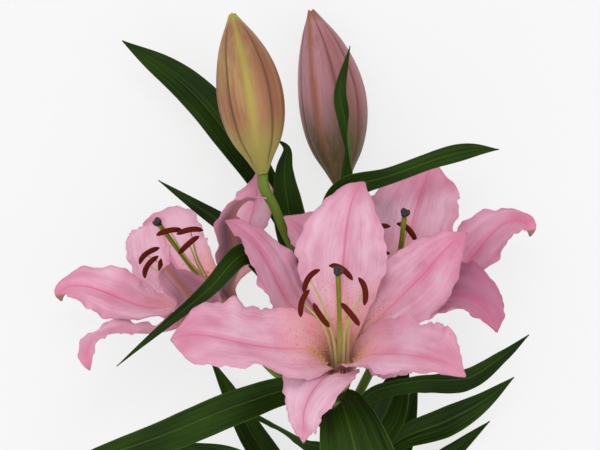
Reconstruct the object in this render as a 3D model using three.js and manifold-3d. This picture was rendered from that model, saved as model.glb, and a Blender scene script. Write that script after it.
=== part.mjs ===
// A cut oriental lily laid on a table: one leafy stem, three open blooms and two closed buds.
// Millimetres, +Z up from the table, the stem's cut end towards -Y and the buds towards +Y.
import * as THREE from 'three';
import { mergeVertices } from 'three/addons/utils/BufferGeometryUtils.js';
import Module from 'manifold-3d';

const wasm = await Module();
wasm.setup();

// Where the middle of the laid flower falls in the drawing that the places below are taken from
const MIDDLE = { x: -12.73, y: -172.38 };

// Blades: petals, sepals and leaves
const BLADE_THICKNESS = 0.7;
const TABLE_REST = BLADE_THICKNESS / 2;
const TABLE_EASE = 3;
const TIP_HALF_WIDTH = 0.5;

// A bloom's throat, from its axis outwards
const OVARY_RADIUS = 1.9;
const STYLE_RADIUS = 1.4;
const STIGMA_RADIUS = 3.1;
const COLLAR = { inner: 2.6, outer: 3.8, foot: 0.35, height: 2.3 };
const FILAMENT_RING = 3.2;
const PETAL_RING = 4.6;
const SEPAL_RING = 6.3;
const RECEPTACLE_RADIUS = 6.1;
const TEPAL_SEAT = 0.4;
const ANTHER = { length: 16, radius: 1.9, seat: 1.1, bow: 2.8 };

// Half widths along a blade, as shares of its widest half
const PETAL_OUTLINE = [0.125, 0.21, 0.38, 0.62, 0.86, 1.0, 0.95, 0.72, 0.02];
const FULL_THROAT = [0.125, 0.25, 0.48, 0.7, 0.9, 1.0, 0.95, 0.72, 0.02];
const SEPAL_OUTLINE = [0.19, 0.24, 0.4, 0.64, 0.88, 1.0, 0.86, 0.52, 0.02];
const SHORT_TAPER = [0.3, 0.4, 0.62, 0.88, 1.0, 0.86, 0.6, 0.34, 0.02];
const BROAD_FOOT = [0.19, 0.28, 0.6, 0.92, 1.0, 1.0, 0.86, 0.56, 0.02];
const SLIM_THROAT = [0.15, 0.16, 0.28, 0.64, 0.96, 1.0, 0.86, 0.52, 0.02];
const SLIM_TIP = [0.125, 0.21, 0.38, 0.64, 0.9, 1.0, 0.84, 0.46, 0.02];
const LEAF_OUTLINE = [0.28, 0.5, 0.78, 0.96, 1.0, 0.9, 0.68, 0.38, 0.02];
const NARROW_FOOT = [0.28, 0.34, 0.42, 0.56, 0.86, 1.0, 0.8, 0.45, 0.02];
const BROAD_TIP = [0.26, 0.3, 0.42, 0.62, 0.85, 1.0, 0.96, 0.66, 0.02];
const SLIM_FOOT = [0.28, 0.38, 0.48, 0.66, 0.92, 1.0, 0.8, 0.45, 0.02];
const BUD_OUTLINE = [0.16, 0.42, 0.71, 0.89, 0.98, 1.0, 0.95, 0.84, 0.67, 0.43, 0.1];
const STILL = [0, 0, 0, 0];

// How finely each kind of piece is divided
const TEPAL_GRID = { rows: 11, cols: 6 };
const LEAF_GRID = { rows: 9, cols: 4 };
const BUD_GRID = { rows: 11, sides: 24 };
const STEPS_PER_ROW = 6;
const PATH_SAMPLES = 200;

const COLOURS = {
  petal: 0xe8a0be, sepal: 0xdf9ab8, leaf: 0x2c5a24, stem: 0x6f8f3a,
  bud: 0xc79a86, stamen: 0x8a4a2a, pistil: 0x8f9a4c,
};

// Blooms. A tepal leaves the throat at an azimuth round the bloom's axis, and "open" is its heading away
// from that axis, in degrees, at even stations from foot to tip; "sway" turns it sideways and "twist"
// rolls it about its midrib.
const tepal = (inner, outline, [name, azimuth, length, width, open, sway, ruffle, more = {}]) => (
  { name, inner, azimuth, length, width, open, sway, ruffle, twist: STILL, outline, ...more });
const petal = (...sizes) => tepal(true, PETAL_OUTLINE, sizes);
const sepal = (...sizes) => tepal(false, SEPAL_OUTLINE, sizes);
const stamen = (root, azimuth, spread, height, swing) => ({ root, azimuth, spread, height, swing });

const BLOOMS = [
  {
    name: 'front', base: [23.5, -98, 80], axis: [0, 0.73, 0.68],
    tepals: [
      petal('top', 87, 133, 28, [9, 16, 43.7, 38.7, 49.7, 112.8], [0, 0.8, -4.9, -28.2], [2.0, 2.6, 0.2],
        { twist: [0, -0.9, 10.5, -7.4], outline: SLIM_TIP }),
      petal('left', 192.5, 133, 29, [9, 16, 61, 71.5, 81.1, 124.5], [0, 18.7, -13, -16], [2.6, 3.0, 0.1],
        { twist: [0, 27.7, -10.4, 10.1], outline: FULL_THROAT }),
      petal('right', 328, 119, 28, [9, 16, 47, 59, 72, 121], [0, -5, -7, 1], [2.6, 3.0, 0.6],
        { twist: [0, -6, 6, 16], outline: FULL_THROAT }),
      sepal('upper_left', 146.2, 127, 19, [9, 18, 59.3, 38.1, 54, 95], [0, -4.2, -13, 5], [2.0, 3.0, 0.3],
        { twist: [0, 7.5, -21, -1] }),
      sepal('upper_right', 36.4, 126, 22, [9, 18, 53.8, 53.4, 49.8, 100.9], [0, -5.2, -8.2, 6.7],
        [2.0, 3.0, 0.8],
        { twist: [0, -0.2, -40, -11] }),
      sepal('lower', 257.1, 105, 21, [9, 20, 56, 108.1, 190, 170], [0, -10, -19, 10.4], [1.6, 3.0, 0.5],
        { twist: [0, -2.6, -15.4, 3], outline: SHORT_TAPER }),
    ],
    stigma: { height: 98, azimuth: 180, lean: 2.1 },
    stamens: [
      stamen(0, 352, 12.7, 85, -78), stamen(60, 90, 16.6, 83, -31), stamen(120, 158, 19.2, 85, -125),
      stamen(180, 206, 24.2, 84, -107), stamen(240, 238, 22.8, 83, -56), stamen(300, 284, 20.4, 84, -51),
    ],
  },
  {
    name: 'left', base: [-38, -66.7, 24], axis: [-0.5, 0.68, 0.53],
    tepals: [
      petal('back', 86.2, 107, 16, [9, 16, 72.7, 45.3, 63.2, 66.4], [0, -12.3, -20.4, 34.7],
        [1.6, 3.0, 0.3],
        { twist: [0, -35.8, -25.8, -0.9] }),
      petal('outer', 219, 129, 17, [9, 16, 54, 39, 47.3, 111.9], [0, 25, -20, 6], [2.6, 3.6, 0.8],
        { twist: [0, -7, 15.9, 6.1] }),
      petal('near', 324.9, 113, 20, [9, 16, 47.4, 7.4, 6.6, 97], [0, -35.9, 26.6, 14.8], [1.6, 3.0, 0.5],
        { twist: [0, 24.3, -38.6, -18.6] }),
      sepal('top', 160, 122, 26, [9, 20, 62.8, 57.4, 98.2, 115], [0, 1.4, -32.5, 32], [2.4, 3.0, 0.2],
        { twist: [0, 3.8, -15, -3.3], outline: BROAD_FOOT }),
      sepal('lower', 270, 132, 13, [9, 16, 71, 47, 69, 152], [0, 5, -43, 31], [1.6, 3.0, 0.2],
        { twist: [0, 8, -19, 3] }),
      sepal('right', 30.3, 121, 25, [9, 14, 49, 15.3, 58.4, 125.2], [0, -17.3, 23.7, -18.3],
        [2.0, 3.0, 0.6],
        { twist: [0, 10.9, 31.8, 40], outline: SLIM_THROAT }),
    ],
    stigma: { height: 98, azimuth: 84, lean: 2 },
    stamens: [
      stamen(60, 10.3, 6.3, 91, 10), stamen(0, 13, 20, 88, 8), stamen(300, 353.3, 20, 83.6, 41),
      stamen(130, 193, 22.8, 76, 40), stamen(180, 214, 21.4, 73, 59), stamen(240, 272, 17.3, 74.9, -73),
    ],
  },
  {
    name: 'right', base: [53.5, -63, 34], axis: [0.12, 0.68, 0.72],
    tepals: [
      petal('top', 64.7, 114, 29, [9, 16, 45.6, 63, 75, 56], [0, 5.2, 5.4, -8.9], [2.4, 3.0, 0.2],
        { twist: [0, -0.3, 16, 16] }),
      petal('lower', 316.7, 108, 26, [9, 16, 45.1, 46.4, 90.5, 114.6], [0, -4.6, 9.3, -37.5],
        [2.0, 2.6, 0.2],
        { twist: [0, -3, 4.4, 40.5] }),
      petal('left', 186, 111, 20, [9, 16, 44, 62, 72, 80], [0, 0, -48, -36], [1.6, 3.0, 0.6]),
      sepal('back', 104, 104, 15, [9, 20, 60, 54, 108, 160], [0, 6, -20, -6], [1.2, 3.0, 0.3]),
      sepal('outer', 13.3, 129, 20, [9, 20, 66.9, 46.4, 79, 145], [0, -12.5, 25.6, -35], [1.8, 3.0, 0.8],
        { twist: [0, -6.9, 23.6, -17.9] }),
      sepal('under', 262, 78, 18, [9, 24, 76, 135, 185, 200], STILL, [1.0, 3.0, 0.5]),
    ],
    stigma: { height: 99, azimuth: 136, lean: 4.7 },
    stamens: [
      stamen(0, 338, 10.7, 68, -60), stamen(60, 76, 8.8, 79, -42), stamen(120, 176, 15, 62, 30),
      stamen(180, 159, 18.9, 82, 18), stamen(240, 219, 20.5, 77, -77), stamen(300, 273, 11.2, 62, -45),
    ],
  },
];

// Buds, from the pedicel to the tip
const BUDS = [
  {
    name: 'bud_left', radius: 20.3, turn: 0,
    path: [[-23, 31, 66], [-27, 58, 68], [-32, 88, 69], [-37, 110, 69], [-41, 127, 68]],
  },
  {
    name: 'bud_right', radius: 21, turn: 30,
    path: [[26, 23, 27.6], [23, 54, 22.6], [20, 83, 20.6], [14, 111, 20.6], [7, 135, 21.6]],
  },
];

// The main stem and the pedicels, each ending at what it carries
const STEM = {
  path: [[30, -480, 5], [29, -370, 13], [28, -260, 24], [26, -150, 36], [22, -90, 42], [20, -40, 45]],
  radii: [5, 5, 4.8, 4.4, 4, 3.2],
};
const PEDICELS = [
  { to: 'front', path: [[26, -168, 35], [25.5, -150, 42], [24, -124, 57]] },
  { to: 'left', path: [[24.5, -128, 39], [4, -108, 26], [-18, -92, 17]] },
  { to: 'right', path: [[25, -135, 38], [36, -110, 26], [47, -88, 20]] },
  { to: 'bud_left', path: [[20, -52, 44.5], [8, -30, 49], [-6.5, -10, 54.5], [-15.7, 11, 60]] },
  { to: 'bud_right', path: [[20, -46, 44.8], [22.5, -27, 38], [24.5, -4, 31.5]] },
];
const PEDICEL_RADII = [3, 3, 3, 3, 3, 3, 3, 3.4];
const PEDICEL_NECK = 9;

// Leaves. Each leaves the stem at a distance along it and an angle round it (0 towards +X, 90 up), and
// then follows its path; "roll" turns the blade from face up, at even stations after the root.
const leaf = (name, along, round, width, path, roll = [0, 0, 0], more = {}) => (
  { name, along, round, width, path, roll, seat: 0.5, spring: 2.5, outline: LEAF_OUTLINE, ...more });

const LEAVES = [
  leaf('leaf_01', -74, 195, 12.5, [[-10.1, 3.5, 26], [-48, 60, 25], [-76, 91, 26], [-112, 116.1, 34]],
    [-10, -20, -20, 0], { outline: BROAD_TIP }),
  leaf('leaf_02', -62, 200, 10.8, [[-3, -9, 41], [-8.4, 18, 43], [-9.6, 34, 45], [-8, 47, 47], [-14, 53, 48]],
    [0, 0, 0, 0, 20], { seat: 0.8, spring: 3 }),
  leaf('leaf_03', -44, 80, 6,
    [[20.6, -7.9, 46], [26, 13, 46], [30.4, 31, 51], [31, 45.9, 55.8], [28, 65, 53.4],
      [25, 82.9, 54], [31, 111, 51]],
    [10, 20, 75, 10, 0], { outline: NARROW_FOOT }),
  leaf('leaf_04', -66, 15, 7,
    [[26, -30, 51.8], [20, -10, 57], [18, 8, 64], [28, 22, 70], [55, 30, 75], [83.3, 40, 77], [104, 45, 76],
      [121, 46, 70]],
    [10, 0, 0, 10, 0], { outline: SLIM_FOOT }),
  leaf('leaf_05', -90, 225, 8, [[-24, -16, 12], [-48, 0, 1], [-68, 13, -6], [-92, 29, -5]],
    [-10, 0, 0]),
  leaf('leaf_06', -96, 140, 7,
    [[5, -72, 62], [-7, -48, 77], [-23, -23, 90], [-35, -18, 98], [-54, -38, 107], [-82, -61, 104],
      [-109, -84, 92]],
    [20, 0, 0, 0, 15, 0], { seat: 0.2 }),
  leaf('leaf_07', -140, 150, 11,
    [[0, -102, 62], [-36, -109, 72], [-85, -129, 66], [-136, -149, 50], [-172, -172, 38]],
    [0, 10, 10, 0]),
  leaf('leaf_08', null, 90, 24,
    [[24, -107, 78.5], [24.5, -106, 88.2], [26.5, -110, 101], [31, -126, 109], [37, -152, 110],
      [42, -186, 99.8], [45.3, -222, 82]]),
  leaf('leaf_09', -130, 30, 8.5,
    [[45, -104.4, 44.5], [72, -97, 46], [103.8, -95, 48], [126, -81.2, 49], [142, -68, 50]],
    [-40, -40, -10, 0], { seat: 0.2 }),
  leaf('leaf_10', -154, 5, 13, [[43.1, -135, 38], [54, -118.3, 34.6], [61.7, -99, 35], [67, -82.5, 32]],
    [0, 0, 10, 10], { spring: 4 }),
  leaf('leaf_11', -172, 110, 4.5, [[16, -141, 50], [4, -135, 52], [-14, -125, 52], [-35, -116, 46]],
    [0, 30, 60, 0]),
  leaf('leaf_12', -176, 10, 9.5, [[60, -137, 36], [91, -124, 34], [114, -112, 32], [135, -96, 32]],
    [20, 0, 0], { outline: SLIM_FOOT }),
  leaf('leaf_13', -190, 200, 9.5, [[-6, -165, 22], [-29, -137, 12], [-46, -107, 8], [-58, -86, 8]],
    [-10, 0, 0]),
  leaf('leaf_14', -200, 0, 9, [[52, -164, 28], [64, -138, 24], [70, -118, 21], [75, -98, 18]],
    [10, 0, 0]),
  leaf('leaf_15', -222, 170, 9, [[-6, -173, 36], [-38, -149, 36], [-63, -142, 34], [-93, -140, 34]],
    [-20, 0, 0]),
  leaf('leaf_16', -226, -10, 9, [[58, -188, 18], [84, -158, 11], [103, -142, 10], [122, -126, 12]],
    [10, 0, 0]),
  leaf('leaf_17', -250, 210, 9, [[6, -215, 12], [-13, -171, 5], [-27, -139, 3], [-37, -124, 4]],
    [-10, 0, 0]),
  leaf('leaf_18', -268, 175, 9.5, [[-10, -238, 12], [-50, -206, 6], [-92, -180, 3], [-124, -168, 2]],
    [-10, 0, 0]),
  leaf('leaf_19', -285, 0, 9.5, [[62, -250, 14], [105, -220, 6], [140, -200, 3]],
    [10, 0, 0]),
  leaf('leaf_20', -308, 185, 9, [[0, -275, 10], [-36, -250, 5], [-66, -238, 2]],
    [-10, 0, 0]),
  leaf('leaf_21', -325, 10, 9, [[58, -298, 10], [92, -278, 5], [120, -264, 3]],
    [10, 0, 0]),
];

// Small maths
const vec = (xyz) => new THREE.Vector3(...xyz);
const cross = (a, b) => new THREE.Vector3().crossVectors(a, b);
const rad = THREE.MathUtils.degToRad;
const clamp = THREE.MathUtils.clamp;
const moved = (from, ...shifts) => shifts.reduce(
  (point, [direction, distance]) => point.addScaledVector(direction, distance), from.clone());
const blend = (a, b, degrees) => (
  a.clone().multiplyScalar(Math.cos(rad(degrees))).addScaledVector(b, Math.sin(rad(degrees))));

/** The value at t, 0 to 1, of the smooth curve through evenly spaced stations. */
function smooth(stations, t) {
  const last = stations.length - 1;
  const place = clamp(t, 0, 1) * last;
  const i = Math.min(Math.floor(place), last - 1);
  const f = place - i;
  const a = stations[i];
  const b = stations[i + 1];
  const before = i > 0 ? stations[i - 1] : 2 * a - b;
  const after = i + 2 <= last ? stations[i + 2] : 2 * b - a;
  const bend = 3 * (a - b) + after - before;
  return a + 0.5 * f * (b - before + f * (2 * before - 5 * a + 4 * b - after + f * bend));
}

const smoothPoint = (points, t) => vec([0, 1, 2].map((axis) => smooth(points.map((p) => p[axis]), t)));

/** A height eased on to the table, so that a blade that would sink lies flat on it. */
function onTable(z) {
  const above = z - TABLE_REST;
  if (above > TABLE_EASE) {
    return z;
  }
  return TABLE_REST + (above < -TABLE_EASE ? 0 : (above + TABLE_EASE) ** 2 / (4 * TABLE_EASE));
}

/** Even rows along a path by distance, each with its tangent and a normal rolled from face up. */
function pathRows(points, rows, rollAt, hint = [0, 0, 1]) {
  const samples = Array.from({ length: PATH_SAMPLES + 1 }, (_, i) => smoothPoint(points, i / PATH_SAMPLES));
  const run = [0];
  for (let i = 1; i <= PATH_SAMPLES; i += 1) {
    run.push(run[i - 1] + samples[i].distanceTo(samples[i - 1]));
  }
  const out = [];
  let i = 0;
  for (let row = 0; row <= rows; row += 1) {
    const t = row / rows;
    const wanted = t * run[PATH_SAMPLES];
    while (i < PATH_SAMPLES - 1 && run[i + 1] < wanted) {
      i += 1;
    }
    const centre = samples[i].clone().lerp(samples[i + 1], (wanted - run[i]) / (run[i + 1] - run[i]));
    const ahead = Math.min(i + 2, PATH_SAMPLES);
    const tangent = samples[ahead].clone().sub(samples[Math.max(i - 1, 0)]).normalize();
    const up = vec(hint);
    const flat = up.addScaledVector(tangent, -up.dot(tangent)).normalize();
    out.push({ t, centre, tangent, normal: blend(flat, cross(flat, tangent), rollAt(t)) });
  }
  return out;
}

/** Joins points, given as rows of equal length, into the top and bottom faces and rim of a thin blade. */
function bladeSolid(grid) {
  const rows = grid.length - 1;
  const cols = grid[0].length - 1;
  const at = (i, j) => grid[clamp(i, 0, rows)][clamp(j, 0, cols)];
  const top = [];
  const bottom = [];
  for (let i = 0; i <= rows; i += 1) {
    for (let j = 0; j <= cols; j += 1) {
      const alongRow = at(i + 1, j).clone().sub(at(i - 1, j));
      const acrossRow = at(i, j + 1).clone().sub(at(i, j - 1));
      const face = cross(alongRow, acrossRow).normalize();
      top.push(moved(grid[i][j], [face, BLADE_THICKNESS / 2]));
      bottom.push(moved(grid[i][j], [face, -BLADE_THICKNESS / 2]));
    }
  }
  const id = (i, j) => i * (cols + 1) + j;
  const under = top.length;
  const triangles = [];
  for (let i = 0; i < rows; i += 1) {
    for (let j = 0; j < cols; j += 1) {
      const [a, b, c, d] = [id(i, j), id(i, j + 1), id(i + 1, j + 1), id(i + 1, j)];
      triangles.push([a, c, b], [a, d, c]);
      triangles.push([under + a, under + b, under + c], [under + a, under + c, under + d]);
    }
  }
  const rim = [
    ...Array.from({ length: cols }, (_, j) => id(0, j)),
    ...Array.from({ length: rows }, (_, i) => id(i, cols)),
    ...Array.from({ length: cols }, (_, j) => id(rows, cols - j)),
    ...Array.from({ length: rows }, (_, i) => id(rows - i, 0)),
  ];
  rim.forEach((p, n) => {
    const q = rim[(n + 1) % rim.length];
    triangles.push([p, q, under + q], [p, under + q, under + p]);
  });
  return geometryOf([...top, ...bottom], triangles);
}

function geometryOf(points, triangles) {
  const geometry = new THREE.BufferGeometry();
  const places = points.flatMap((p) => [p.x, p.y, p.z]);
  geometry.setAttribute('position', new THREE.Float32BufferAttribute(places, 3));
  geometry.setIndex(triangles.flat());
  return geometry;
}

/** The middle surface of a blade: each row is bent to a curl and raised by "lift" along its normal. */
function bladeGrid(rows, cols, halfWidth, curl, lift) {
  return rows.map((row) => {
    const across = cross(row.normal, row.tangent);
    const half = Math.max(halfWidth(row), TIP_HALF_WIDTH);
    const bend = curl(row);
    return Array.from({ length: cols + 1 }, (_, j) => {
      const u = (2 * j) / cols - 1;
      const x = half * u;
      const bent = Math.abs(bend) > 1e-6;
      const sideways = bent ? Math.sin(bend * x) / bend : x;
      const raised = (bent ? (1 - Math.cos(bend * x)) / bend : 0) + lift(row.t, u, x);
      const point = moved(row.centre, [across, sideways], [row.normal, raised]);
      point.z = onTable(point.z);
      return point;
    });
  });
}

/** A closed round bar through rings of points. */
function ringSolid(rings) {
  const sides = rings[0].length;
  const points = rings.flat();
  const triangles = [];
  for (let i = 0; i < rings.length - 1; i += 1) {
    for (let j = 0; j < sides; j += 1) {
      const [a, b] = [i * sides + j, i * sides + ((j + 1) % sides)];
      triangles.push([a, b, b + sides], [a, b + sides, a + sides]);
    }
  }
  const ends = [[0, true], [rings.length - 1, false]];
  ends.forEach(([ring, first]) => {
    const hub = points.length;
    points.push(rings[ring].reduce((sum, p) => sum.add(p), vec([0, 0, 0])).divideScalar(sides));
    for (let j = 0; j < sides; j += 1) {
      const [a, b] = [ring * sides + j, ring * sides + ((j + 1) % sides)];
      triangles.push(first ? [hub, b, a] : [hub, a, b]);
    }
  });
  return geometryOf(points, triangles);
}

/** A round bar along a path, its radius given at even stations. */
function barSolid(points, radii, sides, rows) {
  const rings = pathRows(points, rows, () => 0, [0.02, 0.05, 1]).map(({ t, centre, tangent, normal }) => {
    const across = cross(tangent, normal);
    return Array.from({ length: sides }, (_, j) => (
      moved(centre, [blend(normal, across, (360 * j) / sides), smooth(radii, t)])));
  });
  return ringSolid(rings);
}

/** Several closed solids joined into one. */
function fused(geometries) {
  const solids = geometries.map((geometry) => {
    const merged = mergeVertices(geometry);
    return new wasm.Manifold(new wasm.Mesh({
      numProp: 3,
      vertProperties: merged.attributes.position.array,
      triVerts: new Uint32Array(merged.index.array),
    }));
  });
  const mesh = solids.reduce((whole, solid) => whole.add(solid)).getMesh();
  const geometry = new THREE.BufferGeometry();
  geometry.setAttribute('position', new THREE.Float32BufferAttribute(mesh.vertProperties, 3));
  geometry.setIndex(Array.from(mesh.triVerts));
  return geometry;
}

// Blooms
class Bloom {
  constructor(plan) {
    this.plan = plan;
    this.base = vec(plan.base);
    this.axis = vec(plan.axis).normalize();
    this.up = moved(vec([0, 1, 0]), [this.axis, -this.axis.y]).normalize();
    this.across = cross(this.up, this.axis);
  }

  /** The direction away from the axis at an azimuth. */
  ray(azimuth) {
    return blend(this.across, this.up, azimuth);
  }

  /** The point at a height along the axis and a distance from it. */
  point(height, azimuth, distance) {
    return moved(this.base, [this.axis, height], [this.ray(azimuth), distance]);
  }
}

/** Rows along a tepal's midrib, which is walked in short steps along its changing heading. */
function tepalRows(bloom, tepal, rows) {
  const ray = bloom.ray(tepal.azimuth);
  const side = cross(bloom.axis, ray);
  const heading = (t) => {
    const open = smooth(tepal.open, t);
    const out = blend(ray, side, smooth(tepal.sway, t));
    const tangent = blend(bloom.axis, out, open);
    const flat = blend(out.clone().negate(), bloom.axis, open);
    return { open, tangent, normal: blend(flat, cross(flat, tangent), smooth(tepal.twist, t)) };
  };
  const steps = rows * STEPS_PER_ROW;
  const centre = bloom.point(TEPAL_SEAT, tepal.azimuth, tepal.inner ? PETAL_RING : SEPAL_RING);
  const out = [];
  for (let step = 0; step <= steps; step += 1) {
    if (step % STEPS_PER_ROW === 0) {
      const t = step / steps;
      const fromBase = centre.clone().sub(bloom.base);
      const radius = moved(fromBase, [bloom.axis, -fromBase.dot(bloom.axis)]).length();
      out.push({ t, centre: centre.clone(), radius, ...heading(t) });
    }
    centre.addScaledVector(heading((step + 0.5) / steps).tangent, tepal.length / steps);
  }
  return out;
}

/** A tepal: trough-shaped in the throat, grooved along its midrib and ruffled along its edges. */
function tepalSolid(bloom, tepal) {
  const [height, waves, phase] = tepal.ruffle;
  const troughEnd = tepal.inner ? 0.68 : 0.62;
  const curl = ({ t, radius, open }) => {
    const fade = THREE.MathUtils.smoothstep(troughEnd - t, 0, 0.35);
    const throat = (Math.cos(rad(open)) / Math.max(radius, 3)) * fade;
    return throat + smooth([0, 0, 0.3, 0.3, 0], t) / tepal.width;
  };
  const lift = (t, u, x) => {
    const reach = clamp((t - 0.28) / 0.3, 0, 1) * clamp((1.02 - t) / 0.22, 0, 1);
    const side = u < 0 ? 0 : 0.37;
    const turn = 2 * Math.PI;
    const wave = Math.sin(turn * (waves * t + phase + side))
      + 0.45 * Math.sin(turn * (2.3 * waves * t + 1.7 * phase + 2 * side));
    const groove = 1.6 * clamp(t * 5, 0, 1) * clamp((1 - t) * 4, 0, 1) * Math.exp(-((x / 3.2) ** 2));
    return height * reach * Math.abs(u) ** 3 * wave - groove;
  };
  const rows = tepalRows(bloom, tepal, TEPAL_GRID.rows);
  const halfWidth = ({ t }) => tepal.width * smooth(tepal.outline, t);
  return bladeSolid(bladeGrid(rows, TEPAL_GRID.cols, halfWidth, curl, lift));
}

/** The collar in the throat with the six filaments, each with its anther swung across its tip. */
function stamensSolid(bloom) {
  const { inner, outer, foot, height } = COLLAR;
  const collar = new THREE.LatheGeometry([
    new THREE.Vector2(inner, foot), new THREE.Vector2(outer, foot),
    new THREE.Vector2(outer, foot + height), new THREE.Vector2(inner, foot + height),
    new THREE.Vector2(inner, foot),
  ], 12);
  collar.deleteAttribute('normal');
  collar.deleteAttribute('uv');
  const turn = new THREE.Quaternion().setFromUnitVectors(vec([0, 1, 0]), bloom.axis);
  collar.applyQuaternion(turn).translate(bloom.base.x, bloom.base.y, bloom.base.z);
  const parts = [collar];
  bloom.plan.stamens.forEach(({ root, azimuth, spread, height: reach, swing }) => {
    const tip = bloom.point(reach, azimuth, spread);
    const path = [
      bloom.point(1.2, root, FILAMENT_RING), bloom.point(26, root, 4.4),
      bloom.point(0.7 * reach, azimuth, 0.45 * spread), tip,
    ];
    parts.push(barSolid(path.map((p) => p.toArray()), [0.7, 0.75, 0.65, 0.5], 4, 4));
    const across = blend(vec([1, 0, 0]), vec([0, 1, 0]), swing);
    const bulge = bloom.ray(azimuth).add(bloom.axis).normalize();
    const ends = [-0.5, 0, 0.5].map((share) => moved(
      tip, [across, share * ANTHER.length], [bulge, ANTHER.seat - 4 * share ** 2 * ANTHER.bow]));
    const slim = 0.45 * ANTHER.radius;
    parts.push(barSolid(ends.map((p) => p.toArray()), [slim, ANTHER.radius, slim], 5, 4));
  });
  return fused(parts);
}

/** The ovary, the long style and the three-lobed stigma. */
function pistilSolid(bloom) {
  const { height, azimuth, lean } = bloom.plan.stigma;
  const path = [[COLLAR.foot, 0], [20, 0], [48, 0.15], [75, 0.55], [height, 1]].map(
    ([along, share]) => bloom.point(along, azimuth, lean * share).toArray());
  const style = barSolid(path, [OVARY_RADIUS, OVARY_RADIUS, STYLE_RADIUS, STYLE_RADIUS, STYLE_RADIUS], 6, 8);
  const top = bloom.point(height, azimuth, lean);
  const rings = [[-2.5, 0.6], [0, 1], [2.4, 0.8]].map(([along, share]) => (
    Array.from({ length: 9 }, (_, j) => {
      const lobe = j % 3 === 0 ? 1 : 0.8;
      const out = bloom.ray(40 * j);
      return moved(top, [bloom.axis, along], [out, STIGMA_RADIUS * share * lobe]);
    })));
  return fused([style, ringSolid(rings)]);
}

/** A closed bud: three keels down its length, each between two seams. */
function budSolid({ path, radius, turn }) {
  const rings = pathRows(path, BUD_GRID.rows, () => turn).map(({ t, centre, tangent, normal }) => {
    const across = cross(tangent, normal);
    const girth = radius * smooth(BUD_OUTLINE, t);
    const depth = Math.sqrt(Math.sin(Math.PI * t));
    return Array.from({ length: BUD_GRID.sides }, (_, j) => {
      const angle = (360 * j) / BUD_GRID.sides;
      const fromKeel = Math.abs(((angle + 60) % 120) - 60);
      const keel = 0.045 * Math.exp(-((fromKeel / 7.5) ** 2));
      const seam = 0.055 * Math.exp(-(((fromKeel - 36) / 5.7) ** 2));
      return moved(centre, [blend(normal, across, angle), girth * (1 + depth * (keel - seam))]);
    });
  });
  return ringSolid(rings);
}

// Stem and leaves
/** The stem's middle, direction and radius where it passes a distance along the table. */
function stemAt(along) {
  let best = 0;
  for (let i = 1; i < PATH_SAMPLES; i += 1) {
    const gap = Math.abs(smoothPoint(STEM.path, i / PATH_SAMPLES).y - along);
    if (gap < Math.abs(smoothPoint(STEM.path, best / PATH_SAMPLES).y - along)) {
      best = i;
    }
  }
  const t = best / PATH_SAMPLES;
  const step = 1 / PATH_SAMPLES;
  const tangent = smoothPoint(STEM.path, t + step).sub(smoothPoint(STEM.path, t - step)).normalize();
  return { centre: smoothPoint(STEM.path, t), tangent, radius: smooth(STEM.radii, t) };
}

/** A leaf's whole path and roll, with the root laid along the stem's side. */
function leafRoute({ along, round, path, roll, seat, spring }) {
  if (along === null) {
    return { path, roll };
  }
  const { centre, tangent, radius } = stemAt(along);
  const flat = blend(vec([1, 0, 0]), vec([0, 0, 1]), round);
  const out = moved(flat, [tangent, -flat.dot(tangent)]).normalize();
  const root = moved(centre, [out, radius + seat]);
  const sheath = moved(root, [tangent, 10], [out, spring]);
  const [c, s] = [Math.cos(rad(round)), Math.sin(rad(round))];
  const rootRoll = THREE.MathUtils.radToDeg(s > 0.3 ? Math.atan2(-c, s) : Math.atan2(c, -s));
  return { path: [root.toArray(), sheath.toArray(), ...path], roll: [rootRoll, ...roll] };
}

/** A leaf: lance-shaped, folded a little along its midrib. */
function leafSolid(plan) {
  const route = leafRoute(plan);
  const rows = pathRows(route.path, LEAF_GRID.rows, (t) => smooth(route.roll, t));
  const curl = ({ t }) => smooth([0.9, 0.5, 0.4, 0.4], t) / plan.width;
  const lift = (t, u, x) => {
    const reach = clamp(t * 4, 0, 1) * clamp((1 - t) * 5, 0, 1);
    const side = u < 0 ? 0 : 0.4;
    const wave = 0.8 * u ** 2 * Math.sin(2 * Math.PI * (2 * t + side));
    return reach * (wave + 0.18 * Math.abs(x));
  };
  const halfWidth = ({ t }) => plan.width * smooth(plan.outline, t);
  return bladeSolid(bladeGrid(rows, LEAF_GRID.cols, halfWidth, curl, lift));
}

/** Where a pedicel ends, and the direction it ends in. */
function pedicelEnd(to, blooms) {
  const bloom = blooms.find(({ plan }) => plan.name === to);
  if (bloom) {
    return { end: bloom.base, direction: bloom.axis, radius: RECEPTACLE_RADIUS };
  }
  const { path, radius } = BUDS.find(({ name }) => name === to);
  const direction = smoothPoint(path, 0.02).sub(vec(path[0])).normalize();
  return { end: moved(vec(path[0]), [direction, -0.35]), direction, radius: radius * BUD_OUTLINE[0] };
}

/** The stem with its five pedicels, in one piece. */
function stemSolid(blooms) {
  const pedicels = PEDICELS.map(({ to, path }) => {
    const { end, direction, radius } = pedicelEnd(to, blooms);
    const neck = moved(end, [direction, -PEDICEL_NECK]).toArray();
    return barSolid([...path, neck, end.toArray()], [...PEDICEL_RADII, radius], 8, 11);
  });
  return fused([barSolid(STEM.path, STEM.radii, 10, 18), ...pedicels]);
}

// Assembly
const lily = new THREE.Group();
lily.position.set(-MIDDLE.x, -MIDDLE.y, 0);

function addPiece(name, geometry, finish, roughness = 0.6) {
  const material = new THREE.MeshStandardMaterial({ color: COLOURS[finish], roughness, metalness: 0 });
  const mesh = new THREE.Mesh(geometry, material);
  mesh.name = name;
  lily.add(mesh);
}

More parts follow.
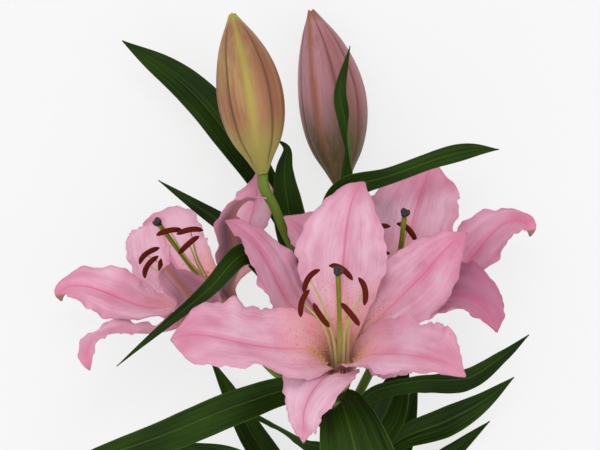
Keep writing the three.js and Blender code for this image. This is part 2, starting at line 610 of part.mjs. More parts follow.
const blooms = BLOOMS.map((plan) => new Bloom(plan));
addPiece('stem', stemSolid(blooms), 'stem');
blooms.forEach((bloom) => {
  const { name, tepals } = bloom.plan;
  tepals.forEach((tepal) => {
    const finish = tepal.inner ? 'petal' : 'sepal';
    addPiece(`${name}_${finish}_${tepal.name}`, tepalSolid(bloom, tepal), finish);
  });
  addPiece(`${name}_stamens`, stamensSolid(bloom), 'stamen', 0.8);
  addPiece(`${name}_pistil`, pistilSolid(bloom), 'pistil', 0.5);
});
BUDS.forEach((bud) => addPiece(bud.name, budSolid(bud), 'bud'));
LEAVES.forEach((plan) => addPiece(plan.name, leafSolid(plan), 'leaf', 0.45));

export default lily;
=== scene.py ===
"""Dresses the cut lily: fine petals, leaves, buds, stamens and stem in the places that the CAD gives."""
import logging
import math
from dataclasses import dataclass, replace
from enum import Enum
from typing import Any, Dict, List, Mapping, Optional, Sequence, Tuple, Union

import bpy
import numpy as np
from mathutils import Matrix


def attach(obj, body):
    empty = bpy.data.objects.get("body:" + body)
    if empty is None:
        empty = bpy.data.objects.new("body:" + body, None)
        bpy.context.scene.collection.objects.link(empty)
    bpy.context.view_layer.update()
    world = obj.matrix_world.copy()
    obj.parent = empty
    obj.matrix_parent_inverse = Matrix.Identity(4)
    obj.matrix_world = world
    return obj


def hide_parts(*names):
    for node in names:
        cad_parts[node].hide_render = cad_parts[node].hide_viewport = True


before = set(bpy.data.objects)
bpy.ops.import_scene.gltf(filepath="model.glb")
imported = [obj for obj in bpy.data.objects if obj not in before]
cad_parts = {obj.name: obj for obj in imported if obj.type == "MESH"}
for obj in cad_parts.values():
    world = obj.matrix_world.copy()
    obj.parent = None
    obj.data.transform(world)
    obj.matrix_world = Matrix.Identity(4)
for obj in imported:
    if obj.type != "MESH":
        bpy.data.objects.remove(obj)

LOG = logging.getLogger("lily")
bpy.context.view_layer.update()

Triple = Tuple[float, float, float]
Place = Union[Triple, np.ndarray]
Colour = Tuple[float, float, float]

# Places and sizes are in millimetres in the drawing's own axes, as in the CAD source, whose middle is
# moved to the frame's origin; meshes are made in metres
METRES = 0.001
MIDDLE = np.array([-12.73, -172.38, 0.0])
FULL_TURN = 2 * math.pi

# How finely a path is measured, and the direction that a round bar's first side faces, about upwards
PATH_SAMPLES = 400
BAR_HINT = (0.02, 0.05, 1)

# Blades, which are petals, sepals and leaves
BLADE_THICKNESS = 0.7
TABLE_REST = BLADE_THICKNESS / 2
TABLE_EASE = 3.0
TIP_HALF_WIDTH = 0.5
TIP_POINT = 0.12

# A bloom: its pistil and throat, from the axis outwards, its anthers and its pedicel's end; a bud's seat
OVARY_RADIUS = 1.9
STYLE_RADIUS = 1.4
STIGMA_RADIUS = 3.1
COLLAR_FOOT = 0.35
FILAMENT_RING = 3.2
PETAL_RING = 4.6
SEPAL_RING = 6.3
RECEPTACLE_RADIUS = 6.1
TEPAL_SEAT = 0.4
ANTHER_LENGTH = 16.0
ANTHER_RADIUS = 1.9
ANTHER_SEAT = 1.1
ANTHER_BOW = 2.8
PEDICEL_NECK = 9.0
BUD_SEAT = 0.35

# Outlines: the half-width at even steps from foot to tip, as a share of the piece's own width
PETAL_OUTLINE = (0.125, 0.21, 0.38, 0.62, 0.86, 1.0, 0.95, 0.72, 0.02)
SEPAL_OUTLINE = (0.19, 0.24, 0.4, 0.64, 0.88, 1.0, 0.86, 0.52, 0.02)
ROUND_END = (0.125, 0.25, 0.5, 0.73, 0.91, 1.0, 1.0, 0.82, 0.02)
TAPERED_END = (0.125, 0.25, 0.5, 0.73, 0.94, 1.0, 0.9, 0.63, 0.02)
BROAD_FOOT = (0.19, 0.28, 0.6, 0.92, 1.0, 1.0, 0.86, 0.56, 0.02)
SLIM_THROAT = (0.15, 0.16, 0.28, 0.64, 0.96, 1.0, 0.86, 0.52, 0.02)
SLIM_TIP = (0.125, 0.21, 0.38, 0.64, 0.9, 1.0, 0.84, 0.46, 0.02)
SHORT_TAPER = (0.3, 0.4, 0.62, 0.88, 1.0, 0.86, 0.6, 0.34, 0.02)
BROAD_END = (0.3, 0.4, 0.55, 0.72, 0.84, 0.96, 1.05, 0.85, 0.02)
BUD_OUTLINE = (0.16, 0.42, 0.71, 0.89, 0.98, 1.0, 0.95, 0.84, 0.67, 0.43, 0.1)
LANCE = (0.28, 0.5, 0.78, 0.96, 1.0, 0.9, 0.68, 0.38, 0.02)
NARROW_FOOT = (0.28, 0.34, 0.42, 0.56, 0.86, 1.0, 0.8, 0.45, 0.02)
BROAD_TIP = (0.26, 0.3, 0.42, 0.62, 0.85, 1.0, 0.96, 0.66, 0.02)
SLIM_FOOT = (0.28, 0.38, 0.48, 0.66, 0.92, 1.0, 0.8, 0.45, 0.02)
WAISTED = (0.28, 0.38, 0.48, 0.72, 1.04, 0.76, 0.74, 0.74, 0.02)
SLIM_END = (0.28, 0.5, 0.78, 0.96, 0.98, 0.76, 0.46, 0.24, 0.02)

# A stamen: the height of its foot, the filament's radii, the height and distance from the axis where it
# starts to lean, and where it flares, as shares of its tip's; the anther's swell and groove are shares of
# the anther's radius
FILAMENT_FOOT = 1.2
FILAMENT_RADII = (1.1, 1.0, 0.8, 0.65, 0.45)
FILAMENT_BEND_HEIGHT = 26
FILAMENT_BEND_RING = 4.4
FLARE_HEIGHT = 0.7
FLARE_SPREAD = 0.45
ANTHER_SWELL = (0.25, 0.8, 0.96, 1.0, 1.0, 1.0, 0.96, 0.8, 0.25)
ANTHER_GROOVE = 0.22

# The style's lean at heights along the axis, as a share of the stigma's, and the stigma's side, as
# distances past the style's top with shares of its radius
STYLE_LEAN = ((COLLAR_FOOT, 0), (20, 0), (48, 0.15), (75, 0.55))
STIGMA_SIDE = (
    (-3.0, 0.42), (-1.8, 0.62), (-0.6, 0.88), (0.6, 1.0), (1.6, 0.97), (2.3, 0.8), (2.5, 0.5), (2.0, 0.2))
STIGMA_SIDES = 36
STIGMA_LENGTH = 5
STIGMA_LOBE = 0.28
STIGMA_SINK = 0.9

# A papilla's root under the skin, height, middle and radii, for one of the usual size; and where the
# papillae are, as shares of the tepal's length and width, and their sizes
PAPILLA_ROOT = 0.3
PAPILLA_HEIGHT = 1.5
PAPILLA_MIDDLE = 0.8
PAPILLA_RADII = (0.34, 0.26)
PAPILLA_TIP = 0.06
PAPILLA_ALONG = (0.1, 0.34)
PAPILLA_ACROSS = (0.2, 0.8)
PAPILLA_SIZES = (0.9, 1.5)

# Where the random numbers of the blooms, the stem and the leaves start
BLOOM_SEED = 100
STEM_SEED = 11
LEAF_SEED = 500


# Small maths
def smooth(stations: Sequence[float], t: np.ndarray) -> np.ndarray:
    """The smooth curve through evenly spaced stations.

    Args:
        stations: the values at even steps from 0 to 1.
        t: where to read the curve, 0 to 1.

    Returns:
        The values at t.
    """
    known = np.asarray(stations, float)
    last = len(known) - 1
    place = np.clip(np.asarray(t, float), 0, 1) * last
    i = np.minimum(place.astype(int), last - 1)
    f = place - i
    a, b = known[i], known[i + 1]
    before = np.where(i > 0, known[np.maximum(i - 1, 0)], 2 * a - b)
    after = np.where(i + 2 <= last, known[np.minimum(i + 2, last)], 2 * b - a)
    bend = 3 * (a - b) + after - before
    return a + 0.5 * f * (b - before + f * (2 * before - 5 * a + 4 * b - after + f * bend))


def smooth_points(points: Sequence[Place], t: np.ndarray) -> np.ndarray:
    """Points on the smooth curve through places, at t from 0 to 1."""
    return np.stack([smooth([p[axis] for p in points], t) for axis in range(3)], -1)


def unit(vectors: np.ndarray) -> np.ndarray:
    """Vectors at length one."""
    return vectors / np.maximum(np.linalg.norm(vectors, axis=-1, keepdims=True), 1e-12)


def turned(first: np.ndarray, second: np.ndarray, degrees: Union[float, np.ndarray]) -> np.ndarray:
    """The first direction turned towards the second by an angle, or by one angle for each row."""
    angle = np.radians(np.asarray(degrees, float))[..., None]
    return np.cos(angle) * first + np.sin(angle) * second


def ease(low: float, high: float, x: np.ndarray) -> np.ndarray:
    """A smooth step from 0 at low to 1 at high."""
    f = np.clip((x - low) / (high - low), 0, 1)
    return f * f * (3 - 2 * f)


def wobble(x: np.ndarray, rng: np.random.Generator) -> np.ndarray:
    """A gentle irregular wave of about one swing for each unit of x, within about -1 and 1.

    Args:
        x: where to read the wave.
        rng: the random numbers that its phases are drawn from.

    Returns:
        The wave at x.
    """
    total = np.zeros_like(x, dtype=float)
    for pace, share in ((0.63, 0.4), (1.0, 0.5), (1.71, 0.3), (2.6, 0.15)):
        total += share * np.sin(FULL_TURN * (pace * x + rng.uniform()))
    return total


def hump(x: np.ndarray, width: float) -> np.ndarray:
    """1 where x is 0, falling to near 0 two widths away."""
    return np.exp(-((x / width) ** 2))


def columns(count: int) -> np.ndarray:
    """The places of a blade's columns between its edges, -1 to 1, closer together near the edges."""
    u = np.linspace(-1, 1, count + 1)
    return 1.12 * u - 0.12 * u ** 3


def on_table(z: np.ndarray) -> np.ndarray:
    """Heights eased on to the table, so that a blade that would sink lies flat on it.

    Args:
        z: the heights as they would be without the table.

    Returns:
        The heights, none of them below the table.
    """
    above = z - TABLE_REST
    eased = np.where(above < -TABLE_EASE, 0, (above + TABLE_EASE) ** 2 / (4 * TABLE_EASE))
    return np.where(above > TABLE_EASE, z, TABLE_REST + eased)


@dataclass
class Rows:
    """Stations along a piece: how far along, where, which way it runs and which way it faces."""

    t: np.ndarray
    centre: np.ndarray
    tangent: np.ndarray
    normal: np.ndarray
    length: float

    @property
    def across(self) -> np.ndarray:
        """The direction across the piece at each station."""
        return np.cross(self.normal, self.tangent)


def path_rows(points: Sequence[Place], t: np.ndarray, roll: Sequence[float] = (0, 0),
              hint: Triple = (0, 0, 1)) -> Rows:
    """Stations along a path by distance.

    Args:
        points: the places that the path passes through.
        t: the stations, from 0 to 1.
        roll: how far the piece is turned from face up, at even stations, in degrees.
        hint: the direction that it faces before the roll.

    Returns:
        The rows.
    """
    samples = smooth_points(points, np.linspace(0, 1, PATH_SAMPLES + 1))
    run = np.concatenate([[0], np.cumsum(np.linalg.norm(np.diff(samples, axis=0), axis=1))])
    slopes = np.gradient(samples, axis=0)
    wanted = t * run[-1]
    centre = np.stack([np.interp(wanted, run, samples[:, k]) for k in range(3)], -1)
    tangent = unit(np.stack([np.interp(wanted, run, slopes[:, k]) for k in range(3)], -1))
    up = np.asarray(hint, float)
    flat = unit(up - (tangent @ up)[:, None] * tangent)
    normal = turned(flat, np.cross(flat, tangent), smooth(roll, t))
    return Rows(t, centre, tangent, normal, float(run[-1]))


def around(rows: Rows, sides: int) -> Tuple[np.ndarray, np.ndarray]:
    """The directions out of the middle of a round bar.

    Args:
        rows: the stations of its rings.
        sides: how many sides it has.

    Returns:
        The angle of each side in degrees, and the direction by ring and side.
    """
    angle = 360 * np.arange(sides) / sides
    beside = np.cross(rows.tangent, rows.normal)
    return angle, turned(rows.normal[:, None], beside[:, None], angle[None, :])


# Meshes
@dataclass
class Shape:
    """The points and faces of a mesh, with what its finish reads at each point.

    "place" is where the point lies on the piece, in millimetres, and "form" holds marks from 0 to 1.
    """

    points: np.ndarray
    faces: List[Tuple[int, ...]]
    place: np.ndarray
    form: np.ndarray

    @staticmethod
    def joined(shapes: Sequence["Shape"]) -> "Shape":
        """Several shapes as one.

        Args:
            shapes: the shapes, which stay apart in the mesh.

        Returns:
            The shape of them all.
        """
        faces: List[Tuple[int, ...]] = []
        start = 0
        for shape in shapes:
            faces.extend(tuple(start + i for i in face) for face in shape.faces)
            start += len(shape.points)
        return Shape(
            np.concatenate([s.points for s in shapes]), faces,
            np.concatenate([s.place for s in shapes]), np.concatenate([s.form for s in shapes]))

    def piece(self, name: str, material: bpy.types.Material, slot: str, nodes: Sequence[str] = ()) -> None:
        """Makes the object, hides the CAD parts that it stands for and hangs it under the root body.

        Args:
            name: the object's name.
            material: its finish.
            slot: the record's material slot; not used.
            nodes: the CAD nodes that it stands for.
        """
        mesh = bpy.data.meshes.new(name)
        mesh.from_pydata(((self.points - MIDDLE) * METRES).tolist(), [], self.faces)
        mesh.update()
        for label, values in (("place", self.place), ("form", self.form)):
            layer = mesh.attributes.new(label, "FLOAT_VECTOR", "POINT")
            layer.data.foreach_set("vector", np.asarray(values, np.float32).ravel())
        mesh.polygons.foreach_set("use_smooth", np.ones(len(mesh.polygons), bool))
        mesh.materials.append(material)
        made = bpy.data.objects.new(name, mesh)
        bpy.context.scene.collection.objects.link(made)
        if nodes:
            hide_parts(*nodes)
        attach(made, "root")
        LOG.info("%s: %d faces", name, len(mesh.polygons))


def facing_of(surface: np.ndarray) -> np.ndarray:
    """The direction that each point of a surface faces, by row and column."""
    return unit(np.cross(np.gradient(surface, axis=0), np.gradient(surface, axis=1)))


def blade_shape(surface: np.ndarray, thickness: np.ndarray, rows: Rows, across: np.ndarray,
                share: np.ndarray, tone: float) -> Shape:
    """A thin closed blade round its middle surface.

    Args:
        surface: the middle surface's points, by row and column.
        thickness: its thickness at each of them.
        rows: the stations that the surface's rows were made at.
        across: each point's distance from the midrib.
        share: each column's place between the edges, -1 to 1.
        tone: a number from 0 to 1 that sets this blade's colour apart from its neighbours'; on a tepal a
            high tone is partly painted shade.

    Returns:
        The shape. Its form is (place between the edges, face, tone), where the face is 1 above, 0 below.
    """
    count, width = surface.shape[:2]
    half = facing_of(surface) * thickness[..., None] / 2
    points = np.concatenate([(surface + half).reshape(-1, 3), (surface - half).reshape(-1, 3)])
    index = np.arange(count * width).reshape(count, width)
    a, b, c, d = index[:-1, :-1], index[:-1, 1:], index[1:, 1:], index[1:, :-1]
    under = count * width
    top = np.stack([a, d, c, b], -1).reshape(-1, 4)
    bottom = under + np.stack([a, b, c, d], -1).reshape(-1, 4)
    rim = np.concatenate([index[0, :-1], index[:-1, -1], index[-1, :0:-1], index[:0:-1, 0]])
    after = np.roll(rim, -1)
    edge = np.stack([rim, after, under + after, under + rim], -1)
    faces = [tuple(quad) for quad in np.concatenate([top, bottom, edge]).tolist()]
    spot = np.stack([
        across, np.broadcast_to((rows.t * rows.length)[:, None], across.shape),
        np.broadcast_to(rows.t[:, None], across.shape)], -1).reshape(-1, 3)
    sides = np.broadcast_to(share, across.shape).reshape(-1)
    form = [np.stack([sides, np.full(under, side), np.full(under, tone)], -1) for side in (1.0, 0.0)]
    return Shape(points, faces, np.concatenate([spot, spot]), np.concatenate(form))


def bent_surface(rows: Rows, across: np.ndarray, curl: np.ndarray, lift: np.ndarray) -> np.ndarray:
    """The middle surface of a blade: each row is bent to a curl and raised along its normal.

    Args:
        rows: the stations.
        across: each point's distance from the midrib along the blade, by row and column.
        curl: each row's curvature across.
        lift: how far each point is raised.

    Returns:
        The points, by row and column.
    """
    bend = np.where(np.abs(curl) < 1e-6, 1e-6, curl)[:, None]
    sideways = np.sin(bend * across) / bend
    raised = (1 - np.cos(bend * across)) / bend + lift
    points = rows.centre[:, None] + rows.across[:, None] * sideways[..., None]
    points = points + rows.normal[:, None] * raised[..., None]
    points[..., 2] = on_table(points[..., 2])
    return points


def ring_shape(rings: np.ndarray, along: np.ndarray, marks: np.ndarray) -> Shape:
    """A closed round bar through rings of points.

    Args:
        rings: the points, by ring and side.
        along: each ring's distance along the bar.
        marks: two marks for each point, which go into the form before the share along the bar.

    Returns:
        The shape. Its place is the point's offset from the bar's middle, and its distance along.
    """
    count, sides = rings.shape[:2]
    middles = rings.mean(axis=1)
    index = np.arange(count * sides).reshape(count, sides)
    beside = np.roll(index, -1, axis=1)
    quads = np.stack([index[:-1], beside[:-1], beside[1:], index[1:]], -1).reshape(-1, 4)
    faces: List[Tuple[int, ...]] = [tuple(quad) for quad in quads.tolist()]
    hubs = count * sides, count * sides + 1
    faces.extend((hubs[0], int(b), int(a)) for a, b in zip(index[0], beside[0]))
    faces.extend((hubs[1], int(a), int(b)) for a, b in zip(index[-1], beside[-1]))
    offset = rings - middles[:, None]
    far = np.broadcast_to(along[:, None], (count, sides))
    girth = np.linalg.norm(offset, axis=-1)
    angle = FULL_TURN * np.arange(sides) / sides
    place = np.stack([girth * np.cos(angle), girth * np.sin(angle), far], -1).reshape(-1, 3)
    share = far / max(float(along[-1]), 1e-9)
    form = np.concatenate([marks, share[..., None]], -1).reshape(-1, 3)
    ends = np.array([[0, 0, along[0]], [0, 0, along[-1]]])
    return Shape(
        np.concatenate([rings.reshape(-1, 3), middles[:1], middles[-1:]]), faces,
        np.concatenate([place, ends]), np.concatenate([form, form[:1], form[-1:]]))


def bar_shape(points: Sequence[Place], radii: Sequence[float], sides: int, count: int,
              groove: float = 0.0) -> Shape:
    """A round bar along a path.

    Args:
        points: the places that the path passes through.
        radii: the radius at even stations.
        sides: how many sides the bar has.
        count: how many rings it has.
        groove: the depth of a groove down each side, as a share of the radius.

    Returns:
        The shape.
    """
    t = np.linspace(0, 1, count)
    rows = path_rows(points, t, hint=BAR_HINT)
    angle, directions = around(rows, sides)
    dent = 1 - groove * hump(np.cos(np.radians(angle)), 0.35)
    rings = rows.centre[:, None] + directions * (smooth(radii, t)[:, None] * dent)[..., None]
    return ring_shape(rings, t * rows.length, np.zeros((count, sides, 2)))


def papilla_shape(at: np.ndarray, out: np.ndarray, lean: np.ndarray, size: float) -> Shape:
    """One small fleshy point on a petal's skin.

    Args:
        at: where it grows.
        out: the direction away from the skin.
        lean: the direction that it leans in.
        size: its size, where 1 is usual.

    Returns:
        The shape.
    """
    tip = at + (out + 0.5 * lean) * PAPILLA_HEIGHT * size
    middle = at + (out + 0.15 * lean) * PAPILLA_MIDDLE * size
    radii = [*(radius * size for radius in PAPILLA_RADII), PAPILLA_TIP]
    return bar_shape([at - out * PAPILLA_ROOT, middle, tip], radii, sides=5, count=4)


# Shader graphs
def srgb(red: int, green: int, blue: int) -> Colour:
    """A colour given as it looks on a screen, as the shader's linear values.

    Args:
        red: the red channel, 0 to 255.
        green: the green channel, 0 to 255.
        blue: the blue channel, 0 to 255.

    Returns:
        The colour.
    """
    def linear(value: int) -> float:
        """One channel."""
        x = value / 255
        return x / 12.92 if x <= 0.04045 else ((x + 0.055) / 1.055) ** 2.4
    return linear(red), linear(green), linear(blue)


class Signal:
    """A number that changes over a surface, with Python's arithmetic."""

    def __init__(self, graph: "Graph", socket: bpy.types.NodeSocket) -> None:
        """Wraps an output socket of a graph."""
        self.graph = graph
        self.socket = socket

    def _math(self, operation: str, *values: Any) -> "Signal":
        """The result of one Math node."""
        node = self.graph.node("ShaderNodeMath", {"operation": operation}, dict(enumerate(values)))
        return Signal(self.graph, node.outputs[0])

    def __add__(self, other: Any) -> "Signal":
        """self + other."""
        return self._math("ADD", self, other)

    def __radd__(self, other: Any) -> "Signal":
        """other + self."""
        return self._math("ADD", other, self)

    def __sub__(self, other: Any) -> "Signal":
        """self - other."""
        return self._math("SUBTRACT", self, other)

    def __rsub__(self, other: Any) -> "Signal":
        """other - self."""
        return self._math("SUBTRACT", other, self)

    def __mul__(self, other: Any) -> "Signal":
        """self * other."""
        return self._math("MULTIPLY", self, other)

    def __rmul__(self, other: Any) -> "Signal":
        """other * self."""
        return self._math("MULTIPLY", other, self)

    def __abs__(self) -> "Signal":
        """The number without its sign."""
        return self._math("ABSOLUTE", self)

    def bell(self, centre: float, width: float) -> "Signal":
        """1 at the centre, falling to near 0 two widths away."""
        offset = (self - centre) * (1 / width)
        return self._math("EXPONENT", 0 - offset * offset)

    def step(self, low: float, high: float) -> "Signal":
        """A smooth step up, or down where low is the larger.

        Args:
            low: where the step is 0.
            high: where it is 1.

        Returns:
            The step.
        """
        if low > high:
            return 1 - self.step(high, low)
        node = self.graph.node(
            "ShaderNodeMapRange", {"interpolation_type": "SMOOTHSTEP"},
            {"Value": self, "From Min": low, "From Max": high})
        return Signal(self.graph, node.outputs[0])


class Graph:
    """The node tree of one material."""

    def __init__(self, name: str) -> None:
        """Starts an empty tree.

        Args:
            name: the material's name.
        """
        self.material = bpy.data.materials.new(name)
        self.material.use_nodes = True
        self.tree = self.material.node_tree
        self.tree.nodes.clear()

    def node(self, kind: str, settings: Mapping[str, Any],
             inputs: Mapping[Union[int, str], Any]) -> bpy.types.Node:
        """Adds a node.

        Args:
            kind: the node's type.
            settings: its properties, which are set first.
            inputs: the value or link of each socket, by its name or number.

        Returns:
            The node.
        """
        made = self.tree.nodes.new(kind)
        for key, value in settings.items():
            setattr(made, key, value)
        for key, value in inputs.items():
            if isinstance(value, Signal):
                value = value.socket
            if isinstance(value, bpy.types.NodeSocket):
                self.tree.links.new(value, made.inputs[key])
            else:
                made.inputs[key].default_value = value
        return made

    def parts(self, label: str) -> Tuple[Signal, Signal, Signal]:
        """The three numbers of a mesh attribute.

        Args:
            label: the attribute's name.

        Returns:
            The numbers as signals.
        """
        read = self.node("ShaderNodeAttribute", {"attribute_name": label}, {})
        split = self.node("ShaderNodeSeparateXYZ", {}, {0: read.outputs["Vector"]})
        return tuple(Signal(self, socket) for socket in split.outputs)

    def point(self, x: Any, y: Any, z: Any) -> bpy.types.NodeSocket:
        """Three numbers as a vector."""
        return self.node("ShaderNodeCombineXYZ", {}, {0: x, 1: y, 2: z}).outputs[0]

    def noise(self, at: bpy.types.NodeSocket, detail: float = 2.0) -> Signal:
        """Soft noise about 0.5, one swing for each unit."""
        made = self.node("ShaderNodeTexNoise", {}, {"Vector": at, "Scale": 1.0, "Detail": detail})
        return Signal(self, made.outputs["Fac"])

    def dots(self, at: bpy.types.NodeSocket, radius: float) -> Tuple[Signal, Signal]:
        """Scattered dots, one for each unit cell.

        Args:
            at: where to read them.
            radius: their radius.

        Returns:
            1 in a dot and 0 outside, and a random number for each of them.
        """
        made = self.node("ShaderNodeTexVoronoi", {}, {"Vector": at, "Scale": 1.0, "Randomness": 1.0})
        chance = self.node("ShaderNodeSeparateColor", {}, {0: made.outputs["Color"]})
        distance = Signal(self, made.outputs["Distance"])
        return distance.step(radius, 0.5 * radius), Signal(self, chance.outputs[0])

    def mix(self, first: Any, second: Any, factor: Any) -> bpy.types.NodeSocket:
        """Two colours mixed.

        Args:
            first: the colour where the factor is 0, a plain one or a link.
            second: the colour where it is 1.
            factor: a number or a signal.

        Returns:
            The mixed colour's socket.
        """
        def full(tint: Any) -> Any:
            """A plain colour with its alpha, or a link as it is."""
            return (*tint, 1.0) if isinstance(tint, tuple) else tint
        inputs = {0: factor, 6: full(first), 7: full(second)}
        return self.node("ShaderNodeMix", {"data_type": "RGBA"}, inputs).outputs[2]

    def finish(self, colour: bpy.types.NodeSocket, roughness: Any, height: Optional[Signal] = None,
               depth: float = 0.1, **constants: Any) -> bpy.types.Material:
        """Ends the tree in its shader.

        Args:
            colour: the base colour.
            roughness: the roughness, a number or a signal.
            height: the relief, 0 to 1.
            depth: how deep the relief is, in millimetres.
            constants: other sockets of the shader, with underscores for spaces.

        Returns:
            The material.
        """
        inputs: Dict[Union[int, str], Any] = {"Base Color": colour, "Roughness": roughness}
        inputs.update({key.replace("_", " "): value for key, value in constants.items()})
        if height is not None:
            relief = {"Height": height, "Distance": depth * METRES, "Strength": 1.0}
            inputs["Normal"] = self.node("ShaderNodeBump", {}, relief).outputs[0]
        shader = self.node("ShaderNodeBsdfPrincipled", {"subsurface_method": "BURLEY"}, inputs)
        self.node("ShaderNodeOutputMaterial", {}, {"Surface": shader.outputs[0]})
        return self.material


# Finishes
@dataclass(frozen=True)
class TepalFinish:
    """The skin of petals and sepals: pink with veins, a deeper rib, spots, a peach throat and yellow furrow.

    Outside it is mauve with a brown keel and a green foot, and t over 1 is a withered tip. A high tone
    paints a tepal a deeper rose, and darker outside, partly as its own colour and partly as painted shade;
    the throat and nectary are painted lighter than they are, as painted light.
    """

    name: str
    pale: Colour = srgb(220, 178, 197)
    pink: Colour = srgb(201, 132, 157)
    deep: Colour = srgb(198, 90, 128)
    rose_and_shade: Colour = srgb(150, 62, 104)
    throat: Colour = srgb(238, 164, 152)
    nectary: Colour = srgb(210, 182, 84)
    spot: Colour = srgb(190, 66, 92)
    tip: Colour = srgb(128, 100, 76)
    outer: Colour = srgb(180, 128, 146)
    outer_dark: Colour = srgb(96, 52, 64)
    outer_rib: Colour = srgb(172, 108, 62)
    outer_foot: Colour = srgb(176, 168, 104)
    band_width: float = 3.6
    midrib_width: float = 0.6
    furrow_width: float = 2.4
    keel_width: float = 2.9
    spots_per_mm: float = 0.6
    spot_radius: float = 0.3

    def inner_colour(self, graph: Graph) -> Tuple[bpy.types.NodeSocket, Signal]:
        """The inner face.

        Args:
            graph: the tree that its nodes go into.

        Returns:
            Its colour, and the veins' strength.
        """
        across, along, t = graph.parts("place")
        edge, _, tone = graph.parts("form")
        rim = abs(edge)
        veins = graph.noise(graph.point(edge * 24, t * 2.0, tone * 31), 3.0)
        clouds = graph.noise(graph.point(across * 0.09, along * 0.05, tone * 17), 3.0)
        flush = (veins - 0.5) * 1.1 + (clouds - 0.5) * 2.1 + t * 0.15 + tone.step(0, 0.1) * 0.4 - 0.06
        skin = graph.mix(self.pale, self.pink, flush)
        skin = graph.mix(skin, self.pink, rim.step(0.72, 1.0) * 0.5)
        # Painted shade: a high tone darkens the tepal towards the deep rose, partly its own deeper pink and
        # partly the shadow that falls on it
        skin = graph.mix(skin, self.rose_and_shade, (tone - 0.1) * 0.85)
        band = across.bell(0, self.band_width) * t.step(0.12, 0.3) * 0.32
        band = band + across.bell(0, self.midrib_width) * t.step(0.2, 0.4) * 0.5
        skin = graph.mix(skin, self.deep, band * t.step(1.05, 0.75) + t.step(0.72, 1.0) * 0.42)
        # The peach throat and yellow nectary are the tepal's own colours, painted lighter than they are as
        # painted light against the shade deep in the funnel
        glow = t.step(0.6, 0.14) * across.step(26, 2) * 0.8
        skin = graph.mix(skin, self.throat, glow)
        furrow = across.bell(0, self.furrow_width) * t.step(0.42, 0.24) + t.step(0.1, 0.03)
        skin = graph.mix(skin, self.nectary, furrow * 0.85)
        spread = graph.point(across * self.spots_per_mm, along * self.spots_per_mm, tone * 90)
        dots, chance = graph.dots(spread, self.spot_radius)
        zone = t.step(0.1, 0.2) * t.step(0.64, 0.4) * rim.step(0.9, 0.6)
        skin = graph.mix(skin, self.spot, dots * chance.step(0.2, 0.5) * zone * 0.75)
        return graph.mix(skin, self.tip, t.step(1.0, 1.05) * 0.9), veins

    def outer_colour(self, graph: Graph) -> bpy.types.NodeSocket:
        """The outer face.

        Args:
            graph: the tree that its nodes go into.

        Returns:
            Its colour.
        """
        across, along, t = graph.parts("place")
        edge, _, tone = graph.parts("form")
        veins = graph.noise(graph.point(edge * 22, t * 2.0, tone * 53), 3.0)
        clouds = graph.noise(graph.point(across * 0.05, along * 0.035, tone * 7), 1.0)
        veins_and_shade = (veins - 0.5) * 0.9 + (clouds - 0.5) * 1.2 + 0.16
        # Painted shade: the outer face darkens towards its foot, deep in the bloom, and on tepals of high
        # tone, which lie in shadow
        veins_and_shade = veins_and_shade + t.step(0.75, 0.2) * 0.45 + tone.step(0.2, 0.4) * 0.35
        skin = graph.mix(self.outer, self.outer_dark, veins_and_shade)
        skin = graph.mix(skin, self.pink, abs(edge).step(0.6, 1.0) * 0.65)
        rib = across.bell(0, self.keel_width) * t.step(1.0, 0.8)
        skin = graph.mix(skin, self.outer_rib, rib * 0.85)
        return graph.mix(skin, self.outer_foot, t.step(0.24, 0.04))

    def build(self) -> bpy.types.Material:
        """Makes the finish's node tree.

        Returns:
            The material.
        """
        graph = Graph(self.name)
        inner, veins = self.inner_colour(graph)
        outer = self.outer_colour(graph)
        face = graph.parts("form")[1]
        across, along, _ = graph.parts("place")
        cells = graph.noise(graph.point(across * 2.4, along * 1.1, 0.0), 2.0)
        return graph.finish(
            graph.mix(outer, inner, face), 0.5 + cells * 0.12, veins * 0.6 + cells * 0.4, 0.25,
            Subsurface_Weight=0.45, Subsurface_Scale=0.005, Subsurface_Radius=(1.0, 0.6, 0.7),
            Sheen_Weight=0.1, Specular_IOR_Level=0.3)


@dataclass(frozen=True)
class LeafFinish:
    """A leaf's skin: dark with parallel veins above, paler and duller below."""

    name: str
    dark: Colour = srgb(14, 33, 1)
    green: Colour = srgb(42, 70, 4)
    vein: Colour = srgb(98, 128, 40)
    under: Colour = srgb(76, 102, 40)
    foot: Colour = srgb(112, 136, 40)
    midrib_width: float = 0.5
    veins_each_side: float = 4.5
    vein_width: float = 0.07

    def build(self) -> bpy.types.Material:
        """Makes the finish's node tree.

        Returns:
            The material.
        """
        graph = Graph(self.name)
        across, along, t = graph.parts("place")
        edge, face, tone = graph.parts("form")
        streaks = graph.noise(graph.point(edge * 9, t * 1.6, tone * 41), 3.0)
        clouds = graph.noise(graph.point(across * 0.07, along * 0.03, tone * 23), 1.0)
        lushness = (streaks - 0.5) * 1.7 + (clouds - 0.5) * 1.4 + 0.4 + tone * 0.15
        skin = graph.mix(self.dark, self.green, lushness)
        swings = {0: edge * self.veins_each_side + 0.5, 1: 0.5}
        lines = graph.node("ShaderNodeMath", {"operation": "PINGPONG"}, swings)
        parallel = Signal(graph, lines.outputs[0]).bell(0.5, self.vein_width)
        rib = across.bell(0, self.midrib_width) * t.step(1.0, 0.7)
        skin = graph.mix(skin, self.vein, rib * 0.3 + parallel * 0.1 + abs(edge).step(0.955, 1.0) * 0.35)
        below = graph.mix(self.under, self.green, streaks * 0.6 + parallel * 0.25)
        skin = graph.mix(below, skin, face)
        skin = graph.mix(skin, self.foot, t.step(0.08, 0.0) * 0.8)
        fine = graph.noise(graph.point(across * 2.0, along * 0.5, 3.0), 2.0)
        return graph.finish(
            skin, 0.4 + (1 - face) * 0.2 + fine * 0.1, streaks * 0.6 - parallel * 0.5 + fine * 0.2, 0.3,
            Specular_IOR_Level=0.12)


